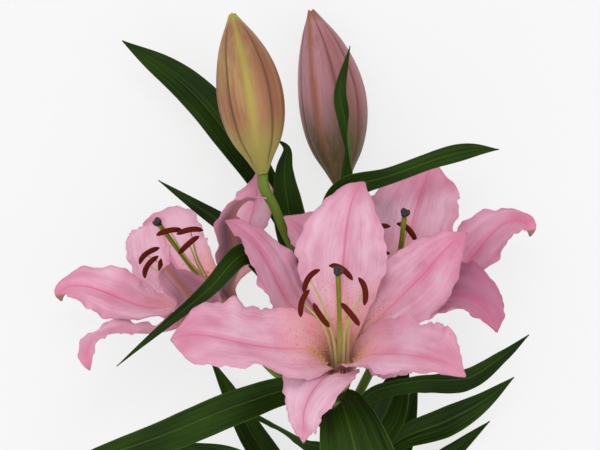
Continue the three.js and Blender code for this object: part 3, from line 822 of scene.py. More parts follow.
@dataclass(frozen=True)
class BudFinish:
    """A bud's skin: blushed sides, one flank darkened as painted shade, green-yellow foot and ribs, and dark
    seams.
    """

    name: str
    side: Colour
    blush_and_shade: Colour
    rib: Colour
    foot: Colour
    seam: Colour
    foot_end: float = 0.42

    def build(self) -> bpy.types.Material:
        """Makes the finish's node tree.

        Returns:
            The material.
        """
        graph = Graph(self.name)
        x, y, along = graph.parts("place")
        keel, seam, t = graph.parts("form")
        streaks = graph.noise(graph.point(x * 0.5, y * 0.5, along * 0.025), 3.0)
        clouds = graph.noise(graph.point(x * 0.06, y * 0.06, along * 0.02), 1.0)
        skin = graph.mix(self.side, self.blush_and_shade, (streaks - 0.5) * 1.3 + (clouds - 0.5) * 2.0 + 0.5)
        # Painted shade: one flank of the bud, the side away from the light, is darkened towards the blush
        # colour
        skin = graph.mix(skin, self.blush_and_shade, y.step(-2, 14) * 0.8)
        low = t.step(self.foot_end, 0.25 * self.foot_end)
        skin = graph.mix(skin, self.foot, low * (0.7 + streaks * 0.6))
        skin = graph.mix(skin, self.rib, keel * (0.3 + t.step(0.1, 0.5) * 0.5) + t.step(0.93, 1.0))
        skin = graph.mix(skin, self.seam, seam * 0.9)
        fine = graph.noise(graph.point(x * 1.6, y * 1.6, along * 0.2), 2.0)
        return graph.finish(
            skin, 0.42 + fine * 0.12, streaks * 0.6 + fine * 0.3, 0.25,
            Subsurface_Weight=0.1, Subsurface_Scale=0.003, Specular_IOR_Level=0.4)


@dataclass(frozen=True)
class StemFinish:
    """The stem's skin: green with fine lengthwise ribs, brown leaf scars and a pale cut end."""

    name: str
    green: Colour = srgb(70, 96, 8)
    light: Colour = srgb(114, 140, 26)
    scar: Colour = srgb(112, 96, 48)
    cut: Colour = srgb(196, 200, 138)

    def build(self) -> bpy.types.Material:
        """Makes the finish's node tree.

        Returns:
            The material.
        """
        graph = Graph(self.name)
        x, y, along = graph.parts("place")
        scar, cut, _ = graph.parts("form")
        ribs = graph.noise(graph.point(x * 2.2, y * 2.2, along * 0.03), 3.0)
        clouds = graph.noise(graph.point(x * 0.2, y * 0.2, along * 0.03), 1.0)
        skin = graph.mix(self.green, self.light, (ribs - 0.5) * 1.5 + (clouds - 0.5) * 1.4 + 0.5)
        skin = graph.mix(skin, self.scar, scar)
        skin = graph.mix(skin, self.cut, cut)
        return graph.finish(skin, 0.42 + ribs * 0.15, ribs, 0.3, Specular_IOR_Level=0.45)


@dataclass(frozen=True)
class GrainFinish:
    """A small part's skin: two tones under a fine grain."""

    name: str
    dark: Colour
    light: Colour
    roughness: float
    grain: float
    depth: float
    lengthwise: float = 1.0
    foot: Optional[Colour] = None
    specular: float = 0.35

    def build(self) -> bpy.types.Material:
        """Makes the finish's node tree.

        Returns:
            The material.
        """
        graph = Graph(self.name)
        x, y, along = graph.parts("place")
        grains = graph.noise(
            graph.point(x * self.grain, y * self.grain, along * self.grain * self.lengthwise), 3.0)
        skin = graph.mix(self.dark, self.light, (grains - 0.5) * 2.2 + 0.5)
        if self.foot:
            skin = graph.mix(skin, self.foot, graph.parts("form")[2].step(0.7, 0.3))
        return graph.finish(skin, self.roughness, grains, self.depth, Specular_IOR_Level=self.specular)


class Finish(Enum):
    """The finishes that the pieces are given."""

    TEPAL = TepalFinish("tepal_skin")
    LEAF = LeafFinish("leaf_skin")
    STEM = StemFinish("stem_skin")
    BUD_LEFT = BudFinish(
        "bud_left_skin", srgb(174, 138, 92), srgb(140, 74, 56), srgb(168, 156, 58), srgb(156, 146, 74),
        srgb(88, 66, 30))
    BUD_RIGHT = BudFinish(
        "bud_right_skin", srgb(192, 140, 152), srgb(152, 94, 98), srgb(150, 88, 56), srgb(82, 70, 34),
        srgb(104, 60, 36), 0.6)
    ANTHER = GrainFinish("anther_skin", srgb(66, 14, 6), srgb(112, 36, 14), 0.85, 2.6, 0.25, specular=0.1)
    FILAMENT = GrainFinish(
        "filament_skin", srgb(176, 180, 84), srgb(206, 206, 128), 0.45, 1.5, 0.05, 0.2, srgb(218, 214, 164))
    STYLE = GrainFinish(
        "style_skin", srgb(96, 108, 8), srgb(140, 148, 24), 0.4, 1.2, 0.08, 0.15, srgb(204, 204, 120))
    STIGMA = GrainFinish("stigma_skin", srgb(10, 7, 9), srgb(46, 34, 40), 0.24, 2.0, 0.2, specular=0.45)
    PAPILLA = GrainFinish("papilla_skin", srgb(218, 162, 124), srgb(238, 208, 150), 0.5, 2.0, 0.05)

    @property
    def material(self) -> bpy.types.Material:
        """The finish's material, made the first time that it is asked for."""
        return bpy.data.materials.get(self.value.name) or self.value.build()


# Blooms
@dataclass(frozen=True)
class Whorl:
    """What the tepals of one ring have in common."""

    ring: float
    trough_end: float
    outline: Tuple[float, ...]


class Kind(Enum):
    """The two rings of tepals."""

    PETAL = Whorl(PETAL_RING, 0.68, PETAL_OUTLINE)
    SEPAL = Whorl(SEPAL_RING, 0.62, SEPAL_OUTLINE)


@dataclass(frozen=True)
class Stamen:
    """One stamen: where its filament starts, where its anther lies and which way that is swung."""

    root: float
    azimuth: float
    spread: float
    height: float
    swing: float


@dataclass(frozen=True)
class Tepal:
    """One petal or sepal, with its heading from the bloom's axis at even stations, in degrees.

    The sway turns it sideways and the twist rolls it about its midrib. The outline is its own, where it
    differs from its ring's. The tone makes it a deeper pink; on tepals that lie in shadow, such as the
    right bloom's lower petal, that deeper pink is painted shade. The hook is how far its last few
    millimetres curl back and how far they swing aside, in degrees.
    """

    kind: Kind
    name: str
    azimuth: float
    length: float
    width: float
    open: Tuple[float, ...]
    sway: Tuple[float, ...]
    ruffle: Triple
    twist: Tuple[float, ...] = (0, 0, 0, 0)
    outline: Optional[Tuple[float, ...]] = None
    tone: float = 0.15
    hook: Tuple[float, float] = (0, 0)

    ROWS = 92
    COLUMNS = 40

    # The skin's relief in millimetres, how far the edge wanders and thins out as shares of the blade's
    # width and thickness, how much the blade cups, and how worn a curled tip is
    GROOVE_DEPTH = 1.6
    GROOVE_WIDTH = 3.2
    FRILL_HEIGHT = 1.3
    FOLD_HEIGHT = 0.5
    LINE_HEIGHT = 0.08
    EDGE_WANDER = 0.045
    EDGE_THINNING = 0.55
    CUPPING = (0, 0, 0.3, 0.3, 0)
    TIP_WEAR = 0.1

    def rows(self, bloom: "Bloom") -> Tuple[Rows, np.ndarray, np.ndarray]:
        """The stations along the midrib.

        Args:
            bloom: the bloom that the tepal stands in.

        Returns:
            The rows, their headings in degrees and their distances from the bloom's axis.
        """
        ray = bloom.ray(self.azimuth)
        side = np.cross(bloom.axis, ray)
        t = np.linspace(0, 1, self.ROWS + 1)

        def heading(at: np.ndarray) -> Tuple[np.ndarray, np.ndarray, np.ndarray]:
            """Which way the tepal runs.

            Args:
                at: shares of its length.

            Returns:
                The opening angle, the direction and the facing at each of them.
            """
            tip = ease(0.91, 0.99, at)
            opened = smooth(self.open, at) + self.hook[0] * tip
            out = turned(ray, side, smooth(self.sway, at) + self.hook[1] * tip)
            return opened, turned(bloom.axis, out, opened), turned(-out, bloom.axis, opened)

        steps = heading((t[1:] + t[:-1]) / 2)[1] * (self.length / self.ROWS)
        start = bloom.place(TEPAL_SEAT, self.azimuth, self.kind.value.ring)
        centre = np.concatenate([[start], start + np.cumsum(steps, axis=0)])
        opened, tangent, normal = heading(t)
        normal = turned(normal, np.cross(normal, tangent), smooth(self.twist, t))
        offset = centre - bloom.base
        radius = np.linalg.norm(offset - (offset @ bloom.axis)[:, None] * bloom.axis, axis=1)
        return Rows(t, centre, tangent, normal, self.length), opened, radius

    def relief(self, t: np.ndarray, u: np.ndarray, across: np.ndarray,
               rng: np.random.Generator) -> np.ndarray:
        """How far the skin stands off the plain curl: ruffled edges, soft folds and the midrib's groove.

        Args:
            t: how far along each point is, 0 to 1.
            u: its place between the edges, -1 to 1.
            across: its distance from the midrib.
            rng: the random numbers that the frills and folds are drawn from.

        Returns:
            The height at each point.
        """
        height, waves, phase = self.ruffle
        reach = np.clip((t - 0.28) / 0.3, 0, 1) * np.clip((1.02 - t) / 0.22, 0, 1)
        far_side = np.where(u < 0, 0, 0.37)
        wave = np.sin(FULL_TURN * (waves * t + phase + far_side))
        wave = wave + 0.45 * np.sin(FULL_TURN * (2.3 * waves * t + 1.7 * phase + 2 * far_side))
        groove = self.GROOVE_DEPTH * np.clip(t * 5, 0, 1) * np.clip((1 - t) * 4, 0, 1)
        groove = groove * hump(across, self.GROOVE_WIDTH)
        frill = np.where(u < 0, wobble(11 * t, rng), wobble(12 * t, rng))
        frill = self.FRILL_HEIGHT * ease(0.2, 0.5, t) * ease(1.0, 0.9, t) * np.abs(u) ** 6 * frill
        folds = self.FOLD_HEIGHT * ease(0.1, 0.35, t) * ease(1.0, 0.7, t) * wobble(2.3 * u + 1.1 * t, rng)
        lines = self.LINE_HEIGHT * wobble(11 * u, rng) * ease(0.1, 0.3, t)
        folds = folds * ease(0.02, 0.2, np.abs(u)) + lines
        return height * reach * np.abs(u) ** 3 * wave - groove + frill + folds

    def shape(self, bloom: "Bloom", seed: int) -> Tuple[Shape, np.ndarray, Rows]:
        """The tepal's mesh, with what is needed for the papillae that grow on it.

        Args:
            bloom: the bloom that the tepal stands in.
            seed: what its random numbers start from.

        Returns:
            The shape, the middle surface's points by row and column, and the rows.
        """
        rng = np.random.default_rng(seed)
        rows, opened, radius = self.rows(bloom)
        whorl = self.kind.value
        u = columns(self.COLUMNS)
        tip = TIP_HALF_WIDTH * ease(1.0, 0.93, rows.t) + TIP_POINT
        half = np.maximum(self.width * smooth(self.outline or whorl.outline, rows.t), tip)
        t = np.broadcast_to(rows.t[:, None], (len(rows.t), len(u)))
        sides = np.broadcast_to(u, t.shape)
        wander = np.where(sides < 0, wobble(9 * t, rng), wobble(10 * t, rng))
        wander = self.EDGE_WANDER * ease(0.25, 0.45, t) * ease(1.0, 0.93, t) * wander
        across = half[:, None] * sides * (1 + wander)
        fade = ease(0, 0.35, whorl.trough_end - rows.t)
        curl = np.cos(np.radians(opened)) / np.maximum(radius, 3) * fade
        curl = curl + smooth(self.CUPPING, rows.t) / self.width
        surface = bent_surface(rows, across, curl, self.relief(t, sides, across, rng))
        thickness = BLADE_THICKNESS * (1 - self.EDGE_THINNING * np.abs(sides) ** 4)
        worn = replace(rows, t=rows.t + self.TIP_WEAR * any(self.hook) * ease(0.93, 1.0, rows.t))
        return blade_shape(surface, thickness, worn, across, u, self.tone), surface, rows


@dataclass(frozen=True)
class Bloom:
    """One open bloom: six tepals round six stamens and a pistil."""

    name: str
    foot: Triple
    towards: Triple
    tepals: Tuple[Tepal, ...]
    stigma: Triple
    stamens: Tuple[Stamen, ...]
    papillae: int = 60

    @property
    def base(self) -> np.ndarray:
        """Where the bloom meets its receptacle."""
        return np.array(self.foot, float)

    @property
    def axis(self) -> np.ndarray:
        """The direction that the bloom opens in."""
        return unit(np.array(self.towards, float))

    def ray(self, azimuth: float) -> np.ndarray:
        """The direction away from the axis at an azimuth."""
        up = unit(np.array([0, 1, 0]) - self.axis[1] * self.axis)
        return turned(np.cross(up, self.axis), up, azimuth)

    def place(self, height: float, azimuth: float, distance: float) -> np.ndarray:
        """The point at a height along the axis and a distance from it."""
        return self.base + self.axis * height + self.ray(azimuth) * distance

    def add_tepals(self, seed: int) -> None:
        """Makes the tepals, and the papillae round the throat.

        Args:
            seed: what their random numbers start from.
        """
        rng = np.random.default_rng(seed)
        points: List[Shape] = []
        for number, tepal in enumerate(self.tepals):
            shape, surface, rows = tepal.shape(self, seed + number + 1)
            node = f"{self.name}_{tepal.kind.name.lower()}_{tepal.name}"
            shape.piece(f"{node}_skin", Finish.TEPAL.material, tepal.kind.name.lower(), [node])
            facing = facing_of(surface)
            for _ in range(self.papillae):
                i = int(rng.uniform(*PAPILLA_ALONG) * tepal.ROWS)
                j = int(rng.uniform(*PAPILLA_ACROSS) * tepal.COLUMNS)
                at = surface[i, j] + facing[i, j] * BLADE_THICKNESS / 2
                size = rng.uniform(*PAPILLA_SIZES)
                points.append(papilla_shape(at, facing[i, j], rows.tangent[i], size))
        Shape.joined(points).piece(f"{self.name}_papillae", Finish.PAPILLA.material, "petal")

    def add_stamens(self) -> None:
        """Makes the filaments and the anthers swung across their tips."""
        filaments: List[Shape] = []
        anthers: List[Shape] = []
        for stamen in self.stamens:
            tip = self.place(stamen.height, stamen.azimuth, stamen.spread)
            path = [
                self.place(FILAMENT_FOOT, stamen.root, FILAMENT_RING),
                self.place(FILAMENT_BEND_HEIGHT, stamen.root, FILAMENT_BEND_RING),
                self.place(FLARE_HEIGHT * stamen.height, stamen.azimuth, FLARE_SPREAD * stamen.spread), tip]
            filaments.append(bar_shape(path, FILAMENT_RADII, sides=10, count=40))
            swing = math.radians(stamen.swing)
            across = np.array([math.cos(swing), math.sin(swing), 0])
            bulge = unit(self.ray(stamen.azimuth) + self.axis)
            path = [
                tip + across * ANTHER_LENGTH * s + bulge * (ANTHER_SEAT - 4 * s * s * ANTHER_BOW)
                for s in np.linspace(-0.5, 0.5, 5)]
            radii = [ANTHER_RADIUS * s for s in ANTHER_SWELL]
            anthers.append(bar_shape(path, radii, sides=16, count=26, groove=ANTHER_GROOVE))
        node = f"{self.name}_stamens"
        Shape.joined(filaments).piece(f"{self.name}_filaments", Finish.FILAMENT.material, "stamens", [node])
        Shape.joined(anthers).piece(f"{self.name}_anthers", Finish.ANTHER.material, "stamens", [node])

    def add_pistil(self) -> None:
        """Makes the ovary and style, and the three-lobed stigma."""
        height, azimuth, lean = self.stigma
        path = [self.place(along, azimuth, lean * share) for along, share in (*STYLE_LEAN, (height, 1))]
        radii = [OVARY_RADIUS, OVARY_RADIUS, STYLE_RADIUS * 0.95, STYLE_RADIUS, STYLE_RADIUS * 1.15]
        node = f"{self.name}_pistil"
        style = bar_shape(path, radii, sides=18, count=60)
        style.piece(f"{self.name}_style", Finish.STYLE.material, "pistil", [node])
        top = self.place(height, azimuth, lean)
        angle = 360 * np.arange(STIGMA_SIDES) / STIGMA_SIDES
        lobes = 1 - STIGMA_LOBE + STIGMA_LOBE * np.abs(np.cos(np.radians(1.5 * angle))) ** 0.7
        rays = np.stack([self.ray(a) for a in angle])
        rings = []
        for along, share in STIGMA_SIDE:
            sink = -STIGMA_SINK * (1 - lobes) / STIGMA_LOBE if along > 1 else 0 * lobes
            spoke = rays * (STIGMA_RADIUS * share * lobes)[:, None]
            rings.append(top + spoke + self.axis * (along + sink)[:, None])
        marks = np.zeros((len(STIGMA_SIDE), STIGMA_SIDES, 2))
        shape = ring_shape(np.stack(rings), np.linspace(0, STIGMA_LENGTH, len(STIGMA_SIDE)), marks)
        shape.piece(f"{self.name}_stigma", Finish.STIGMA.material, "pistil", [node])

    def build(self, seed: int) -> None:
        """Makes the whole bloom.

        Args:
            seed: what its random numbers start from.
        """
        self.add_tepals(seed)
        self.add_stamens()
        self.add_pistil()


def petal(*sizes: Any, **more: Any) -> Tepal:
    """A tepal of the inner ring."""
    return Tepal(Kind.PETAL, *sizes, **more)


def sepal(*sizes: Any, **more: Any) -> Tepal:
    """A tepal of the outer ring."""
    return Tepal(Kind.SEPAL, *sizes, **more)


BLOOMS = (
    Bloom(
        "front", (23.5, -98, 80), (0, 0.73, 0.68),
        (
            petal("top", 87, 133, 28, (9, 16, 43.7, 38.7, 49.7, 112.8), (0, 0.8, -4.9, -28.2),
                  (2.0, 2.6, 0.2), twist=(0, -0.9, 10.5, -7.4), outline=SLIM_TIP, tone=0.06),
            petal("left", 192.5, 133, 29, (9, 16, 61, 71.5, 81.1, 124.5), (0, 18.7, -13, -16),
                  (2.6, 3.0, 0.1), twist=(0, 27.7, -10.4, 10.1), outline=ROUND_END, tone=0.14),
            petal("right", 328, 119, 28, (9, 16, 47, 59, 72, 121), (0, -5, -7, 1),
                  (2.6, 3.0, 0.6), twist=(0, -6, 6, 16), outline=TAPERED_END, tone=0.2),
            sepal("upper_left", 146.2, 127, 19, (9, 18, 59.3, 38.1, 54, 95), (0, -4.2, -13, 5),
                  (2.0, 3.0, 0.3), twist=(0, 7.5, -21, -1), tone=0.38),
            sepal("upper_right", 36.4, 126, 22, (9, 18, 53.8, 53.4, 49.8, 100.9), (0, -5.2, -8.2, 6.7),
                  (2.0, 3.0, 0.8), twist=(0, -0.2, -40, -11), tone=0.28),
            sepal("lower", 257.1, 105, 21, (9, 20, 56, 108.1, 190, 170), (0, -10, -19, 10.4),
                  (1.6, 3.0, 0.5), twist=(0, -2.6, -15.4, 3), outline=SHORT_TAPER, tone=0.0),
        ),
        (98, 180, 2.1),
        (
            Stamen(0, 352, 12.7, 85, -78), Stamen(60, 90, 16.6, 83, -31),
            Stamen(120, 158, 19.2, 85, -125), Stamen(180, 206, 24.2, 84, -107),
            Stamen(240, 238, 22.8, 83, -56), Stamen(300, 284, 20.4, 84, -51),
        )),
    Bloom(
        "left", (-38, -66.7, 24), (-0.5, 0.68, 0.53),
        (
            petal("back", 86.2, 107, 16, (9, 16, 72.7, 45.3, 63.2, 66.4), (0, -12.3, -20.4, 34.7),
                  (1.6, 3.0, 0.3), twist=(0, -35.8, -25.8, -0.9), tone=0.1),
            petal("outer", 219, 129, 17, (9, 16, 54, 39, 47.3, 111.9), (0, 25, -20, 6),
                  (2.6, 3.6, 0.8), twist=(0, -7, 15.9, 6.1), tone=0.16, hook=(15, 80)),
            petal("near", 324.9, 113, 20, (9, 16, 47.4, 7.4, 6.6, 97), (0, -35.9, 26.6, 14.8),
                  (1.6, 3.0, 0.5), twist=(0, 24.3, -38.6, -18.6)),
            sepal("top", 160, 122, 26, (9, 20, 62.8, 57.4, 98.2, 115), (0, 1.4, -32.5, 32),
                  (2.4, 3.0, 0.2), twist=(0, 3.8, -15, -3.3), outline=BROAD_FOOT, tone=0.02),
            sepal("lower", 270, 132, 13, (9, 16, 71, 47, 69, 152), (0, 5, -43, 31),
                  (1.6, 3.0, 0.2), twist=(0, 8, -19, 3), outline=BROAD_END, tone=0.21),
            sepal("right", 30.3, 121, 25, (9, 14, 49, 15.3, 58.4, 125.2), (0, -17.3, 23.7, -18.3),
                  (2.0, 3.0, 0.6), twist=(0, 10.9, 31.8, 40), outline=SLIM_THROAT, tone=0.4),
        ),
        (98, 84, 2),
        (
            Stamen(60, 10.3, 6.3, 91, 10), Stamen(0, 13, 20, 88, 8),
            Stamen(300, 353.3, 20, 83.6, 41), Stamen(130, 193, 22.8, 76, 40),
            Stamen(180, 214, 21.4, 73, 59), Stamen(240, 272, 17.3, 74.9, -73),
        )),
    Bloom(
        "right", (53.5, -63, 34), (0.12, 0.68, 0.72),
        (
            petal("top", 64.7, 114, 29, (9, 16, 45.6, 63, 75, 56), (0, 5.2, 5.4, -8.9),
                  (2.4, 3.0, 0.2), twist=(0, -0.3, 16, 16), tone=0.2),
            # The lower petal's high tone is painted shade, standing for the front bloom's shadow on it
            petal("lower", 316.7, 108, 26, (9, 16, 45.1, 46.4, 90.5, 114.6), (0, -4.6, 9.3, -37.5),
                  (2.0, 2.6, 0.2), twist=(0, -3, 4.4, 40.5), tone=0.95),
            petal("left", 186, 111, 20, (9, 16, 44, 62, 72, 80), (0, 0, -48, -36), (1.6, 3.0, 0.6)),
            sepal("back", 104, 104, 15, (9, 20, 60, 54, 108, 160), (0, 6, -20, -6), (1.2, 3.0, 0.3)),
            sepal("outer", 13.3, 129, 20, (9, 20, 66.9, 46.4, 79, 145), (0, -12.5, 25.6, -35),
                  (1.8, 3.0, 0.8), twist=(0, -6.9, 23.6, -17.9), tone=0.5, hook=(5, -85)),
            sepal("under", 262, 78, 18, (9, 24, 76, 135, 185, 200), (0, 0, 0, 0), (1.0, 3.0, 0.5)),
        ),
        (99, 136, 4.7),
        (
            Stamen(0, 338, 10.7, 68, -60), Stamen(60, 76, 8.8, 79, -42),
            Stamen(120, 176, 15, 62, 30), Stamen(180, 159, 18.9, 82, 18),
            Stamen(240, 219, 20.5, 77, -77), Stamen(300, 273, 11.2, 62, -45),
        )),
)


# Buds, stem and leaves
@dataclass(frozen=True)
class Bud:
    """A closed bud: three keels down its length, each between two seams."""

    name: str
    finish: Finish
    radius: float
    turn: float
    path: Tuple[Triple, ...]

    RINGS = 110
    SIDES = 144

    # In degrees from a keel: where the seam is, where the rib of the inner tepal is, and their widths
    SEAM_TURN = 40
    RIB_TURN = 60
    KEEL_WIDTH = 8.5
    FURROW_WIDTH = 5.7
    SEAM_WIDTH = 3.0
    RIB_WIDTH = 6.0

    # Heights and depths as shares of the radius, and how far the three tips stand out
    KEEL_HEIGHT = 0.045
    FURROW_DEPTH = 0.055
    SEAM_DEPTH = 0.02
    RIB_HEIGHT = 0.02
    TIP_LENGTH = 2.2

    def build(self) -> None:
        """Makes the bud."""
        t = np.linspace(0, 1, self.RINGS)
        rows = path_rows(self.path, t, (self.turn, self.turn))
        angle, directions = around(rows, self.SIDES)
        from_keel = np.abs((angle + 60) % 120 - 60)
        keel = hump(from_keel, self.KEEL_WIDTH)
        furrow = hump(from_keel - self.SEAM_TURN, self.FURROW_WIDTH)
        seam = hump(from_keel - self.SEAM_TURN, self.SEAM_WIDTH)
        rib = hump(from_keel - self.RIB_TURN, self.RIB_WIDTH)
        swell = self.KEEL_HEIGHT * keel - self.FURROW_DEPTH * furrow
        swell = swell - self.SEAM_DEPTH * seam + self.RIB_HEIGHT * rib
        depth = np.sqrt(np.sin(math.pi * t))[:, None]
        girth = self.radius * smooth(BUD_OUTLINE, t)[:, None] * (1 + depth * swell)
        rings = rows.centre[:, None] + directions * girth[..., None]
        tips = self.TIP_LENGTH * ease(0.9, 1.0, t)[:, None] * np.cos(np.radians(1.5 * angle)) ** 2
        rings = rings + rows.tangent[:, None] * tips[..., None]
        seams = seam * ease(0.0, 0.12, t)[:, None] * ease(1.0, 0.96, t)[:, None]
        marks = np.stack([np.broadcast_to(keel + 0.35 * rib, seams.shape), seams], -1)
        shape = ring_shape(rings, t * rows.length, marks)
        shape.piece(f"{self.name}_skin", self.finish.material, "bud", [self.name])


BUDS = (
    Bud("bud_left", Finish.BUD_LEFT, 20.3, 0,
        ((-23, 31, 66), (-27, 58, 68), (-32, 88, 69), (-37, 110, 69), (-41, 127, 68))),
    Bud("bud_right", Finish.BUD_RIGHT, 21, 30,
        ((26, 23, 27.6), (23, 54, 22.6), (20, 83, 20.6), (14, 111, 20.6), (7, 135, 21.6))),
)


@dataclass(frozen=True)
class Stem:
    """The main stem, with a pedicel to each bloom and bud."""

    path: Tuple[Triple, ...]
    radii: Tuple[float, ...]
    pedicels: Mapping[str, Tuple[Triple, ...]]
    pedicel_radii: Tuple[float, ...]
    scars: int = 9

    RINGS = 420
    SIDES = 36
    FINE_STATIONS = 2001

    # A leaf scar: how far up the first is and where round the stem, the step to the next and how much that
    # varies; its curve, its line's width, its half-width in degrees round the stem, and its height
    FIRST_SCAR = 18
    FIRST_TURN = 40
    SCAR_STEP = 15
    SCAR_SHIFT = 3
    GOLDEN_TURN = 137.5
    SCAR_CURVE = 1.4
    SCAR_LINE = 0.9
    SCAR_REACH = 38
    SCAR_HEIGHT = 0.4

    # The ribs' height, the skin's waviness as a share of the radius, how the cut end is rounded and how
    # far it stays above the table
    RIB_HEIGHT = 0.05
    WAVINESS = 0.015
    CUT_SHARE = 0.94
    CUT_RISE = 0.05
    TABLE_CLEARANCE = 0.02

    def at(self, along: float) -> Tuple[np.ndarray, np.ndarray, float]:
        """The stem where it passes a distance along the table.

        Args:
            along: the distance, which is the drawing's Y.

        Returns:
            The stem's middle, direction and radius there.
        """
        t = np.linspace(0, 1, self.FINE_STATIONS)
        points = smooth_points(self.path, t)
        i = int(np.clip(np.abs(points[:, 1] - along).argmin(), 1, len(t) - 2))
        return points[i], unit(points[i + 1] - points[i - 1]), float(smooth(self.radii, t[i]))

    def pedicel_end(self, to: str) -> Tuple[np.ndarray, np.ndarray, float]:
        """A pedicel's end.

        Args:
            to: the name of the bloom or bud that it carries.

        Returns:
            Where it ends, the direction that it ends in and its radius there.
        """
        for bloom in BLOOMS:
            if bloom.name == to:
                return bloom.base, bloom.axis, RECEPTACLE_RADIUS
        bud = next(b for b in BUDS if b.name == to)
        start, ahead = smooth_points(bud.path, np.array([0, 0.02]))
        direction = unit(ahead - start)
        return start - direction * BUD_SEAT, direction, bud.radius * BUD_OUTLINE[0]

    def main_shape(self) -> Shape:
        """The main stem, with the scars of the leaves that were stripped from its foot.

        Returns:
            The shape.
        """
        rng = np.random.default_rng(STEM_SEED)
        t = np.linspace(0, 1, self.RINGS)
        rows = path_rows(self.path, t, hint=BAR_HINT)
        angle, directions = around(rows, self.SIDES)
        along = t * rows.length
        scars = np.zeros((self.RINGS, self.SIDES))
        for number in range(self.scars):
            far = self.FIRST_SCAR + self.SCAR_STEP * number + rng.uniform(-self.SCAR_SHIFT, self.SCAR_SHIFT)
            turn = (self.GOLDEN_TURN * number + self.FIRST_TURN) % 360
            aside = (angle - turn + 180) % 360 - 180
            crescent = far - self.SCAR_CURVE * np.cos(np.radians(np.clip(aside * 2.2, -90, 90)))
            line = hump(along[:, None] - crescent[None, :], self.SCAR_LINE)
            scars = np.maximum(scars, line * np.exp(-((aside / self.SCAR_REACH) ** 4)))
        ribs = self.RIB_HEIGHT * np.sin(np.radians(9 * angle))[None, :]
        plain = smooth(self.radii, t)[:, None] * (1 + self.WAVINESS * wobble(t * 9, rng))[:, None]
        girth = plain + self.SCAR_HEIGHT * scars + ribs
        rings = rows.centre[:, None] + directions * girth[..., None]
        cut_ring = rows.centre[0] + (rings[0] - rows.centre[0]) * self.CUT_SHARE
        rings = np.concatenate([[cut_ring - rows.tangent[0] * self.CUT_RISE], rings])
        rings[..., 2] = np.maximum(rings[..., 2], self.TABLE_CLEARANCE)
        scars = np.concatenate([scars[:1], scars])
        cut = np.zeros_like(scars)
        cut[0] = 1.0
        return ring_shape(rings, np.concatenate([[0], along]), np.stack([scars, cut], -1))

    def build(self) -> None:
        """Makes the stem and its pedicels."""
        shapes = [self.main_shape()]
        for to, path in self.pedicels.items():
            end, direction, radius = self.pedicel_end(to)
            route = [*path, end - direction * PEDICEL_NECK, end]
            shapes.append(bar_shape(route, [*self.pedicel_radii, radius], sides=24, count=120))
        Shape.joined(shapes).piece("stem_skin", Finish.STEM.material, "stem", ["stem"])


STEM = Stem(
    ((30, -480, 5), (29, -370, 13), (28, -260, 24), (26, -150, 36), (22, -90, 42), (20, -40, 45)),
    (5, 5, 4.8, 4.4, 4, 3.2),
    {
        "front": ((26, -168, 35), (25.5, -150, 42), (24, -124, 57)),
        "left": ((24.5, -128, 39), (4, -108, 26), (-18, -92, 17)),
        "right": ((25, -135, 38), (36, -110, 26), (47, -88, 20)),
        "bud_left": ((20, -52, 44.5), (8, -30, 49), (-6.5, -10, 54.5), (-15.7, 11, 60)),
        "bud_right": ((20, -46, 44.8), (22.5, -27, 38), (24.5, -4, 31.5)),
    },
    (3, 3, 3, 3, 3, 3, 3, 3.4))


